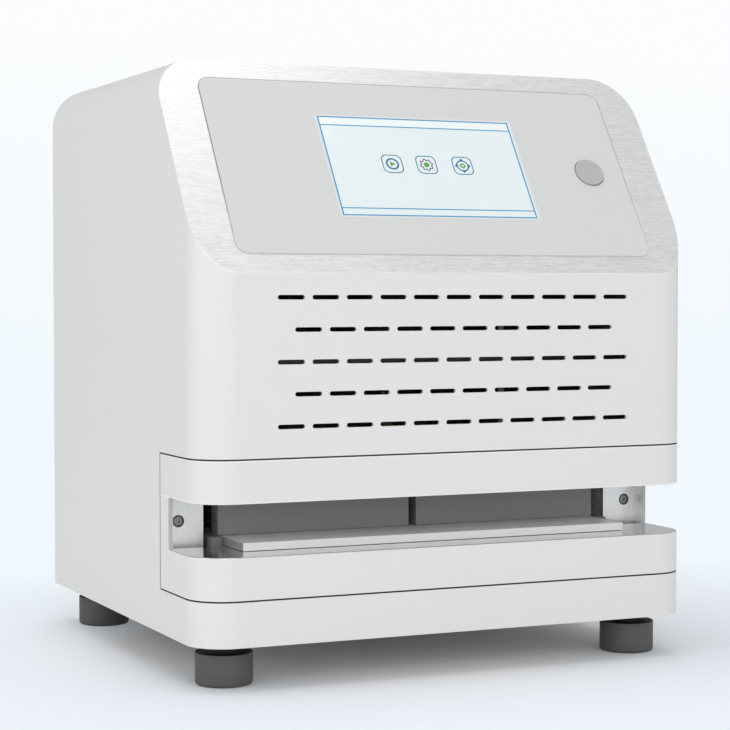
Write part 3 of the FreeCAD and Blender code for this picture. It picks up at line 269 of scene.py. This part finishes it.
# Base pan and rear panel: plain sheet with a thinner, flatter coat in nearly the same grey.
# They are cut from sheet and screwed to the casing.
def mottled(name, colour, swing, size, roughness, uneven, depth=0, detail=2.0, rough=0.5, **sockets):
    """A finish whose colour, roughness and bumps all follow one noise."""
    made = Finish(name, **sockets)
    noise = made.grain(size, detail, rough)
    made.tinted(colour, swing, noise)
    made.set(Roughness=roughness + noise * uneven)
    return made.relief(noise, depth) if depth else made


pan_coat = mottled("pan_zinc", (0.60, 0.605, 0.61), 0.03, 0.7, 0.45, 0.12, 0.02, Specular_IOR_Level=0.4)
pan_coat.put_on("base_pan", "rear_panel")


# Plates beside the mouth: brushed stainless sheet with an upright grain, each held by a socket screw.
# The other bare metals inside are given their grain in the same way.
def brushed(name, colour, swing, size, roughness, metallic):
    """Metal brushed along its longest grain size."""
    return mottled(name, colour, swing, size, roughness - 0.08, 0.16, 0.004, 3.0, 0.6, Metallic=metallic)


stainless, upright_grain = (0.97, 0.97, 0.965), (0.45, 3, 18)
brushed("brushed_plate", stainless, 0.17, upright_grain, 0.34, 0.7).put_on(
    "mouth_plate_left", "mouth_plate_right")


# Returns: each plate's outer end is folded forward along the casing's wall, up to the notch's edge.
# They are the same brushed sheet as the plates, thinner than a millimetre.
def join_rows(form, rows):
    """Faces from each closed row of points to the next."""
    return [form.faces.new((first[i - 1], first[i], second[i], second[i - 1]))
            for first, second in zip(rows, rows[1:]) for i in range(len(first))]


def piece_from(form, name):
    """A new object with this name and shape, its faces turned outwards."""
    bmesh.ops.recalc_face_normals(form, faces=form.faces)
    mesh = bpy.data.meshes.new(name)
    form.to_mesh(mesh)
    form.free()
    return add_object(name, mesh)


wall_inside, fold_front, fold_back, sheet_metal = 187.15, 62.2, 74.7, 0.35
fold_low, fold_high = 90.4, 125.2
fold_section = [(wall_inside, fold_front), (wall_inside - sheet_metal, fold_front),
                (wall_inside - sheet_metal, fold_back), (wall_inside, fold_back)]
returns = bmesh.new()
for side in (-1, 1):
    rows = [[returns.verts.new((side * across * mm, front_y + depth * mm, level * mm))
             for across, depth in fold_section] for level in (fold_low, fold_high)]
    for row in rows:
        returns.faces.new(row)
    join_rows(returns, rows)
bmesh.ops.recalc_face_normals(returns, faces=returns.faces)
half_fold = (fold_high - fold_low) / 2 * mm
upright_edges = [edge for edge in returns.edges
                 if abs(edge.verts[0].co.z - edge.verts[1].co.z) > half_fold]
bmesh.ops.bevel(returns, geom=upright_edges, offset=0.1 * mm, segments=2, affect="EDGES")
folds = piece_from(returns, "mouth_plate_returns")
brushed("return_plate", stainless, 0.03, upright_grain, 0.48, 0.75).put_on(folds)
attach(folds, "casing")

# Fascia: a brushed aluminium plate over the whole slope, with a clear anodised skin and painted edges.
# It is bonded to the casing, and its edges follow the casing's round shoulders.
slope_low, slope_depth = 278.5 * mm, 97.4 * mm
tilt = math.atan2(case_top - slope_low, slope_depth)
slope_foot = Vector((0, front_y, slope_low))
up_slope = Vector((0, math.cos(tilt), math.sin(tilt)))
off_slope = Vector((0, -math.sin(tilt), math.cos(tilt)))


def from_foot(finish, direction):
    """How many millimetres a point is from the slope's foot, along a direction in the YZ plane."""
    y, z = finish.axes()[1:]
    return ((y - slope_foot.y) * direction.y + (z - slope_foot.z) * direction.z) / mm


fascia = Finish("brushed_fascia")
on_top = from_foot(fascia, off_slope) > -0.2
long_streak = fascia.grain((22, 0.55, 0.55), rough=0.6)
short_streak = fascia.grain((6, 0.65, 0.65), rough=0.6)
streak = (long_streak + short_streak).ramp(0.72, 1.28)
metal = fascia.blend(streak, grey(0.76), grey(0.98))
fascia.set(Base_Color=fascia.blend(on_top, grey(0.79), metal), Metallic=on_top * 0.75)
fascia.set(Roughness=0.28 + streak * 0.14)
fascia.relief(streak, 0.006)
fascia.put_on("fascia_plate")

# Overlay: a grey polycarbonate film with a matt grain, and a darker line round its rim, which is painted
# lighter towards the bottom as painted light on the film's edge. It is stuck on the fascia, with windows for
# the screen and the button.
film_low, film_high, film_half, film_round = 14.5, 162.4, 160.0, 9.0
film_middle, film_reach = (film_low + film_high) / 2, (film_high - film_low) / 2
rim_width, painted_light_reach = 0.6, 60.0

film = Finish("overlay_film", Specular_IOR_Level=0.35)
across, up = abs(film.axes()[0]) / mm, from_foot(film, up_slope)
beside_round = (across - (film_half - film_round)).above(0)
over_round = (abs(up - film_middle) - (film_reach - film_round)).above(0)
rim = (diagonal(beside_round, over_round) - film_round + rim_width).ramp(0, 0.25)
film_grain = film.grain(0.3)
film_tone = film.blend(film_grain, (0.655, 0.657, 0.657), (0.68, 0.682, 0.682))
# The rim line is painted lighter towards the bottom: painted light on the film's edge.
rim_line_with_painted_light = film.blend(up.ramp(film_low, film_low + painted_light_reach), grey(0.56), grey(0.25))
film.set(Base_Color=film.blend(rim, film_tone, rim_line_with_painted_light), Roughness=0.5 + film_grain * 0.1)
film.relief(film_grain, 0.01)
film.put_on("control_overlay")

# Touch screen: a clear glass over a lit picture, with a plain start page: a header, three tiles and
# a footer. The lines and signs of the picture are laid on the glass as thin shapes.
header_line, footer_line = 124.3, 52.9
glass = Finish("screen_glass", Roughness=0.12, Coat_Weight=0.5, Coat_Roughness=0.03, Emission_Strength=0.5)
in_header = from_foot(glass, up_slope) > header_line
picture = glass.blend(in_header, (0.77, 0.86, 0.885), (0.92, 0.98, 1.0))
frost = glass.blend(glass.grain(0.6), (0.40, 0.43, 0.44), (0.41, 0.44, 0.45))
glass.set(Emission_Color=picture, Base_Color=frost)
glass.put_on("display_glass")


def on_panel(across, up, out):
    """A point on the slope: millimetres across, up from its foot and out from the fascia."""
    return slope_foot + Vector((across * mm, 0, 0)) + up_slope * (up * mm) + off_slope * (out * mm)


def thicken(form, faces, by):
    """Pull flat faces out into a sheet, by a vector."""
    pulled = bmesh.ops.extrude_face_region(form, geom=faces)["geom"]
    corners = [corner for corner in pulled if isinstance(corner, bmesh.types.BMVert)]
    bmesh.ops.translate(form, vec=by, verts=corners)


def screen_shapes(name, shapes, colour, out=0.53, lit=0.8):
    """Flat shapes on the screen: each is an outline, with an inner outline where it is a ring."""
    thickness = 0.05 * mm
    form = bmesh.new()
    for outlines in shapes:
        rows = [[form.verts.new(on_panel(across, up, out)) for across, up in outline]
                for outline in outlines]
        thicken(form, join_rows(form, rows) if len(rows) == 2 else [form.faces.new(rows[0])],
                off_slope * thickness)
    piece = piece_from(form, name)
    ink = Finish(name + "_ink", Roughness=0.3, Emission_Strength=lit, Emission_Color=colour)
    ink.tinted([value * (1 - lit) for value in colour], 0.03, ink.grain(0.5))
    ink.put_on(piece)
    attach(piece, "casing")


def box_line(left, right, low, high):
    return [(left, low), (right, low), (right, high), (left, high)]


def round_box(x_mid, up_mid, side, radius):
    """The outline of a square with round corners."""
    corner_steps, reach = 6, side / 2 - radius
    points = []
    for corner_turn, sx, sy in ((0, 1, 1), (1, -1, 1), (2, -1, -1), (3, 1, -1)):
        for step in range(corner_steps + 1):
            angle = math.pi / 2 * (corner_turn + step / corner_steps)
            points.append((x_mid + sx * reach + radius * math.cos(angle),
                           up_mid + sy * reach + radius * math.sin(angle)))
    return points


def round_line(x_mid, up_mid, radius, steps=40, wave=0.0):
    """A circle's outline, or one with eight flat-topped teeth where wave isn't 0."""
    points = []
    for step in range(steps):
        angle = 2 * math.pi * step / steps
        reach = radius + wave * max(-1, min(1, 2.2 * math.sin(8 * angle)))
        points.append((x_mid + reach * math.cos(angle), up_mid + reach * math.sin(angle)))
    return points


frame_left, frame_right, frame_low, frame_high = -76.2, 75.4, 46.6, 131.8
inner_left, inner_right, inner_low, inner_high = -75.2, 74.4, 47.5, 130.9
rule_half = 0.4
frame_bars = [(frame_left, frame_right, frame_low, inner_low),
              (frame_left, frame_right, inner_high, frame_high),
              (frame_left, inner_left, inner_low, inner_high),
              (inner_right, frame_right, inner_low, inner_high)]
frame_bars += [(inner_left, inner_right, rule - rule_half, rule + rule_half)
               for rule in (header_line, footer_line)]
screen_shapes("screen_frame", [[box_line(*bar)] for bar in frame_bars], (0.0, 0.28, 0.56))

tile_up, play_x, gear_x, target_x = 91.5, -27.6, -0.9, 27.8
sign_out = 0.54
screen_shapes("screen_tiles", [
    [round_box(x_mid, tile_up, 15.9, 4.4), round_box(x_mid, tile_up, 14.4, 3.8)]
    for x_mid in (play_x, gear_x, target_x)], (0.02, 0.21, 0.32))
dot_circle = round_line(target_x, tile_up, 4.9, 4)
screen_shapes("screen_rings", [
    [round_line(play_x, tile_up, 5.0), round_line(play_x, tile_up, 3.7)],
    [round_line(target_x, tile_up, 4.9), round_line(target_x, tile_up, 3.9)]]
    + [[round_line(dot_x, dot_up, 1.15, 12)] for dot_x, dot_up in dot_circle], (0.004, 0.16, 0.30), sign_out)
screen_shapes("screen_gear", [
    [round_line(gear_x, tile_up, 4.8, 96, 0.45), round_line(gear_x, tile_up, 3.9, 96, 0.45)]],
    (0.03, 0.04, 0.16), sign_out)
screen_shapes("screen_cores", [
    [[(play_x - 1.7, tile_up - 2.1), (play_x + 2.4, tile_up), (play_x - 1.7, tile_up + 2.1)]],
    [round_line(gear_x, tile_up, 2.1, 24)],
    [round_line(target_x, tile_up, 2.2, 24), round_line(target_x, tile_up, 1.0, 24)]],
    (0.11, 0.36, 0.05), sign_out)

# Screen gasket: a thin pale seal that closes the gap between the glass and the film.
# It lies on both, flush along the glass's edge, and is given a faint glow, a little painted light.
screen_shapes("screen_gasket", [[box_line(-78.1, 78.1, 45.0, 133.3), box_line(-76.3, 76.3, 46.5, 131.9)]],
              (0.73, 0.74, 0.745), lit=0.05)

# Screen module and power supply: folded steel cans behind the panel and on the rear wall.
# They are plain plated sheet with a dull spangle.
mottled("module_case", (0.35, 0.35, 0.36), 0.12, 4, 0.4, 0.15, detail=1.0, Metallic=0.6).put_on(
    "display_module", "power_supply")

# Button: a moulded grey cap on a stem, in a body of the same plastic behind the panel.
# Both have a fine spark-eroded grain.
mottled("button_plastic", grey(0.46), 0.03, 0.25, 0.42, 0.12, 0.02).put_on("power_button", "button_housing")

# Black mouldings: fan, mains inlet, switch and the board's plug sockets.
# Glass-filled nylon with a slightly mottled matt skin.
mottled("black_plastic", (0.022, 0.022, 0.023), 0.2, 0.4, 0.42, 0.2, 0.03).put_on(
    "fan_frame", "fan_rotor", "mains_inlet", "switch_body", "rocker", "board_connectors")

# Side frames: laser-cut and folded aluminium sheet, bare beside the tray, where it is painted nearly white,
# partly its own light colour and partly painted light in the notch's shade, and painted dark grey above it
# as painted shade, where the vents would show it. The grain of the sheet runs from front to back.
shade_start = 150 * mm
cheek = Finish("frame_sheet")
sheet_grain = cheek.grain((0.6, 30, 0.8), 3.0, 0.6)
lit_bare_sheet = cheek.blend(sheet_grain.ramp(0.3, 0.6), grey(0.75), grey(1.0))
# Above the tray the sheet is painted dark grey: painted shade behind the vents.
vent_painted_shade = cheek.axes()[2] > shade_start
cheek.set(Base_Color=cheek.blend(vent_painted_shade, lit_bare_sheet, (0.33, 0.33, 0.335)), Roughness=0.34 + sheet_grain * 0.16)
cheek.relief(sheet_grain, 0.004)
cheek.put_on("side_frame_left", "side_frame_right")

# Press beam, nut bracket, bearing blocks and heatsink: milled and extruded aluminium, left bare.
# The marks of the cutter run from front to back.
brushed("frame_metal", grey(0.42), 0.2, (0.6, 30, 0.8), 0.42, 0.5).put_on(
    "press_beam", "tray_nut_bracket", "tray_screw_bearings", "board_heatsink")

# Bridge: milled aluminium plate between the side frames, painted dark grey as painted shade, so that it
# hardly shows through the vents. Its edges are left as milled.
brushed("bridge_painted_shade", (0.33, 0.33, 0.335), 0.2, (30, 0.5, 0.5), 0.45, 0.4).put_on("frame_bridge")

# Tray: milled aluminium plate, glass blasted and anodised in natural grey.
# Its two ends are painted dark grey, as painted shade where they run in the guides.
unshaded_half = 148.8 * mm
tray = Finish("tray_metal", Metallic=0.3)
blast = tray.grain(0.4)
anodised = tray.blend(blast, grey(0.87), grey(0.95))
tray_end_painted_shade = abs(tray.axes()[0]) > unshaded_half
# The ends are painted dark: painted shade.
tray.set(Base_Color=tray.blend(tray_end_painted_shade, anodised, grey(0.30)), Roughness=0.38 + blast * 0.12)
tray.relief(blast, 0.01)
tray.put_on("tray_plate")

# Tray guides: two grey acetal rails that the tray slides on, planed and left matt.
# The marks of the planer run along them.
mottled("guide_plastic", (0.23, 0.23, 0.235), 0.1, (0.4, 12, 0.4), 0.5, 0.15, 0.01).put_on(
    "tray_guide_left", "tray_guide_right")

# Heat shields: thin steel hoods over the heated blocks, in a dark heat-proof coat.
# The coat is slightly pebbled.
mottled("shield_dark", grey(0.31), 0.22, 0.6, 0.48, 0.15, 0.03, Specular_IOR_Level=0.4).put_on(
    "heat_shield_left", "heat_shield_right")

# Heated blocks and their insulation: fly-cut aluminium under a pressed mica and fibre board.
# The board keeps the heat from the press beam, and the blocks hang under it.
brushed("heater_metal", (0.45, 0.44, 0.42), 0.12, (0.3, 25, 25), 0.42, 0.85).put_on(
    "heater_block_left", "heater_block_right")
board = Finish("insulation", Roughness=0.85)
fibre = board.grain((6, 0.5, 0.5), 4.0)
board.tinted((0.55, 0.47, 0.33), 0.2, fibre)
board.relief(fibre, 0.08)
board.put_on("insulator_left", "insulator_right")

# Guide rods: ground steel bars, turned true and hard chromed.
# They slide in the bridge's bushes.
ground = brushed("ground_steel", (0.60, 0.60, 0.61), 0.08, (0.5, 0.5, 0.3), 0.22, 1.0)
ground.put_on("guide_rod_left", "guide_rod_right")

# Lead screws: rolled steel with a four-start thread, 2 mm from crest to crest and 8 mm a turn.
# Each runs from its motor through its nut; the ends are turned down to the core.
thread_pitch, thread_starts, thread_depth, turned_end = 2.0, 4, 0.9, 6.0
rings_per_pitch, bar_steps = 6, 24


def lead_screw(name, node, along):
    """A threaded bar that takes the place of a plain one, along Y or Z."""
    low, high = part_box(node)
    middle = [(a + b) / 2 for a, b in zip(low, high)]
    axis = "xyz".index(along)
    side, other_side = [i for i in range(3) if i != axis]
    radius = (high[0] - low[0]) / 2
    length = high[axis] - low[axis]
    rings = int(length / (thread_pitch * mm) * rings_per_pitch)
    form = bmesh.new()
    rows = []
    for ring in range(rings + 1):
        travel = length * ring / rings
        at_end = min(travel, length - travel) / mm < turned_end
        row = []
        for step in range(bar_steps):
            angle = 2 * math.pi * step / bar_steps
            phase = (travel / (thread_pitch * mm) - thread_starts * step / bar_steps) % 1
            groove = max(0, min(1, 2.6 * abs(phase - 0.5) - 0.25))
            reach = radius - thread_depth * mm * (1 if at_end else groove)
            point = list(middle)
            point[axis] = low[axis] + travel
            point[side] += reach * math.cos(angle)
            point[other_side] += reach * math.sin(angle)
            row.append(form.verts.new(point))
        rows.append(row)
    join_rows(form, rows)
    form.faces.new(rows[0])
    form.faces.new(rows[-1])
    piece = piece_from(form, name)
    ground.put_on(piece)
    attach(piece, node)
    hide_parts(node)


lead_screw("press_screw_thread", "press_screw", "z")
lead_screw("tray_screw_thread", "tray_screw", "y")

# Socket screws in the mouth: plated steel heads in their own grey round the socket, and painted nearly
# black at the rim as painted shadow of the deep counterbores they sit in.
screw_across, screw_up, shadow_inner_radius, shadow_outer_radius = 178.7 * mm, 107.5 * mm, 2.6 * mm, 3.4 * mm
cap_steel = Finish("screw_cap_steel", Metallic=0.7)
x, _, z = cap_steel.axes()
from_axis = diagonal(abs(x) - screw_across, z - screw_up)
turning = cap_steel.grain(0.4)
head_tone = cap_steel.blend(turning, grey(0.27), grey(0.36))
# Towards the rim the head is painted nearly black: painted shadow.
cap_steel.set(Base_Color=cap_steel.blend(from_axis.ramp(shadow_inner_radius, shadow_outer_radius), head_tone, grey(0.05)))
cap_steel.set(Roughness=0.35 + turning * 0.15)
cap_steel.put_on("mouth_plate_screws")

# Other screws, posts, heater cartridges and the fan's guard: turned or drawn steel, zinc plated.
# They are screwed, pressed or pushed into the parts that they hold.
brushed("screw_steel", grey(0.33), 0.15, 0.4, 0.35, 0.9).put_on(
    "foot_screws", "frame_screws", "rear_panel_screws", "board_standoffs", "fan_guard",
    "heater_cartridges")

# Bushes and press nut: turned from bearing brass. The bushes are pressed into the bridge,
# and the nut moves with the press beam.
brushed("bush_brass", (0.50, 0.34, 0.12), 0.1, 0.4, 0.3, 1.0).put_on("guide_bushes", "press_nut")

# Feet: turned from grey rubber bar, with a soft dull skin, each on a screw from below. A narrower neck
# carries the pan, and the top between them is painted nearly black as painted shade under the pan.
foot_top, neck_radius, foot_height, foot_radius = 22.4, 13.0, 30.0, 19.75
hole_radius, head_hole_radius, head_seat = 2.8, 5.25, 12
foot_profile = [
    (hole_radius, head_seat), (head_hole_radius, head_seat), (head_hole_radius, 0), (17.25, 0), (18.6, 0.4),
    (19.4, 1.2), (foot_radius, 2.5), (foot_radius, foot_top - 0.8), (19.5, foot_top - 0.2),
    (18.9, foot_top), (neck_radius, foot_top), (neck_radius, foot_height), (hole_radius, foot_height)]
foot_steps = 64
rubber = Finish("foot_rubber", Specular_IOR_Level=0.4)
rubber_grain = rubber.grain(0.5, 3.0)
skin_tone = rubber.blend(rubber_grain, (0.085, 0.087, 0.087), (0.108, 0.11, 0.11))
# The foot's top is painted nearly black: painted shade under the pan.
foot_top_painted_shade = rubber.axes()[2] > (foot_top - 0.5) * mm
rubber.set(Base_Color=rubber.blend(foot_top_painted_shade, skin_tone, grey(0.006)), Roughness=0.5 + rubber_grain * 0.15)
rubber.relief(rubber_grain, 0.04)
for corner in ("foot_front_left", "foot_rear_left", "foot_front_right", "foot_rear_right"):
    low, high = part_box(corner)
    mid_x, mid_y = (low.x + high.x) / 2, (low.y + high.y) / 2
    turned_foot = bmesh.new()
    rows = []
    for step in range(foot_steps):
        angle = 2 * math.pi * step / foot_steps
        rows.append([turned_foot.verts.new((mid_x + radius * mm * math.cos(angle),
                                            mid_y + radius * mm * math.sin(angle), level * mm))
                     for radius, level in foot_profile])
    join_rows(turned_foot, rows + rows[:1])
    foot = piece_from(turned_foot, corner + "_turned")
    for face in foot.data.polygons:
        face.use_smooth = abs(face.normal.z) < 0.95
    foot.data.set_sharp_from_angle(angle=math.radians(40))
    rubber.put_on(foot)
    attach(foot, "casing")
    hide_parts(corner)

# Motors: black painted end caps on a stack of sheets.
# Each stands at the end of its lead screw, which runs straight out of it.
mottled("motor_black", (0.03, 0.03, 0.033), 0.2, 0.5, 0.35, 0.15, Metallic=0.2).put_on(
    "press_motor", "tray_motor")

# Controller board: glass fibre board under a green solder mask, through which the copper shows.
# It stands on posts.
green = Finish("board_green", Roughness=0.3)
copper = green.grain((3, 3, 1.5), 1.0) > 0.55
green.set(Base_Color=green.blend(copper, (0.008, 0.055, 0.022), (0.015, 0.095, 0.04)))
green.relief(copper, 0.03)
green.put_on("controller_board")

# Rating plate: a blank etched foil, stuck on the rear panel beside the mains switch.
# Its grain runs across, and its corners are round.
plate_x, plate_up, plate_side, plate_stretch, plate_round = 10.0, 80.0, 30.0, 30, 2.5
rear_face, foil_thickness = 173.0, 0.25
plate_form = bmesh.new()
plate_line = [(across + plate_stretch * (1 if across > plate_x else -1), up)
              for across, up in round_box(plate_x, plate_up, plate_side, plate_round)]
plate_face = plate_form.faces.new([plate_form.verts.new((across * mm, rear_face * mm, up * mm))
                                   for across, up in plate_line])
thicken(plate_form, [plate_face], (0, foil_thickness * mm, 0))
rating = piece_from(plate_form, "rating_plate")
brushed("rating_foil", grey(0.66), 0.08, (20, 0.4, 0.4), 0.3, 0.8).put_on(rating)
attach(rating, "casing")

# Studio floor: pale paper that sweeps up behind. Near the instrument it takes light and shadow; farther
# off, what the camera sees of it is an even bluish white. It gives no light of its own to the object,
# apart from the floor in front, which shows in the gloss.
sweep = bpy.data.meshes.new("studio_sweep")
side_x, front_end, back_start, bend, bend_steps, wall_top = 8.0, -7.0, 3.0, 2.0, 16, 6.0
profile = [(front_end, 0), (0, 0), (back_start, 0)]
for step in range(1, bend_steps + 1):
    angle = math.pi / 2 * step / bend_steps
    profile.append((back_start + bend * math.sin(angle), bend - bend * math.cos(angle)))
profile.append((back_start + bend, wall_top))
points = [(side * side_x, y, z) for y, z in profile for side in (-1, 1)]
strips = [(2 * i, 2 * i + 1, 2 * i + 3, 2 * i + 2) for i in range(len(profile) - 1)]
sweep.from_pydata(points, [], strips)
floor = add_object("studio_sweep", sweep)

paper = Finish("studio_paper", Roughness=0.9, Specular_IOR_Level=0.0, Emission_Strength=1.0)
x, y, z = paper.axes()
in_camera = paper.node("LightPath", {}, {}, "Is Camera Ray")
in_gloss = paper.node("LightPath", {}, {}, "Is Glossy Ray") * (y < -0.4)
from_middle = diagonal(x, y)
behind = (from_middle + y * 0.6).ramp(0.2, 0.75)
far_off = from_middle.ramp(0.3, 1.4).above(behind) * (in_camera + in_gloss).clamped()
near_paper = paper.blend(from_middle.ramp(0.15, 0.26), grey(0.885), (0.85, 0.895, 0.94))
near_glow = paper.blend(in_camera, grey(0), (0.03, 0.033, 0.036))
haze = paper.blend(z.ramp(0.0, 1.1), (0.88, 0.94, 0.985), (0.965, 0.98, 0.99))
lit_paper = paper.blend(in_camera, (0.86, 0.865, 0.87), near_paper)
paper.set(Base_Color=paper.blend(far_off, lit_paper, grey(0)))
paper.set(Emission_Color=paper.blend(far_off, near_glow, haze))
paper.put_on(floor)


# Studio air: a plain grey world that the camera, and gloss that looks level, see as a pale wall.
# It fills the shadows between the lamps.
class Air(Finish):
    """The world's own nodes, made in the same way."""

    def __init__(self, world):
        world.use_nodes = True
        self.tree = world.node_tree
        self.shader = self.tree.nodes["Background"]


world = bpy.data.worlds.new("studio_air")
air = Air(world)
way_up = air.node("SeparateXYZ", {}, {0: air.node("TexCoord", {}, {}, "Generated")}, 2)
level_gloss = air.node("LightPath", {}, {}, "Is Glossy Ray") * (1 - abs(way_up).ramp(0.25, 0.5))
seen_air = (air.node("LightPath", {}, {}, "Is Camera Ray") + level_gloss).clamped()
air.set(Color=air.blend(seen_air, grey(0.6), (0.965, 0.98, 0.99)), Strength=1.0)
bpy.context.scene.world = world


# Lamps: three large soft boxes, one above, one in front and one on the left.
# They are dim, because the air gives most of the light.
def lamp(name, place, target, width, height, power):
    """A soft rectangular lamp that faces a point."""
    light = bpy.data.lights.new(name, "AREA")
    light.shape = "RECTANGLE"
    light.size = width
    light.size_y = height
    light.energy = power
    made = add_object(name, light)
    made.location = place
    made.rotation_euler = (Vector(target) - Vector(place)).to_track_quat("-Z", "Y").to_euler()


body_middle = (0, 0, 0.2)
lamp("lamp_top", (-0.2, 0.1, 2.4), (-0.2, 0.1, 0.0), 2.1, 1.9, 15)
lamp("lamp_front", (-0.6, -2.6, 1.2), body_middle, 1.8, 1.4, 19)
lamp("lamp_left", (-2.4, -0.3, 1.0), body_middle, 1.6, 1.6, 9.2)
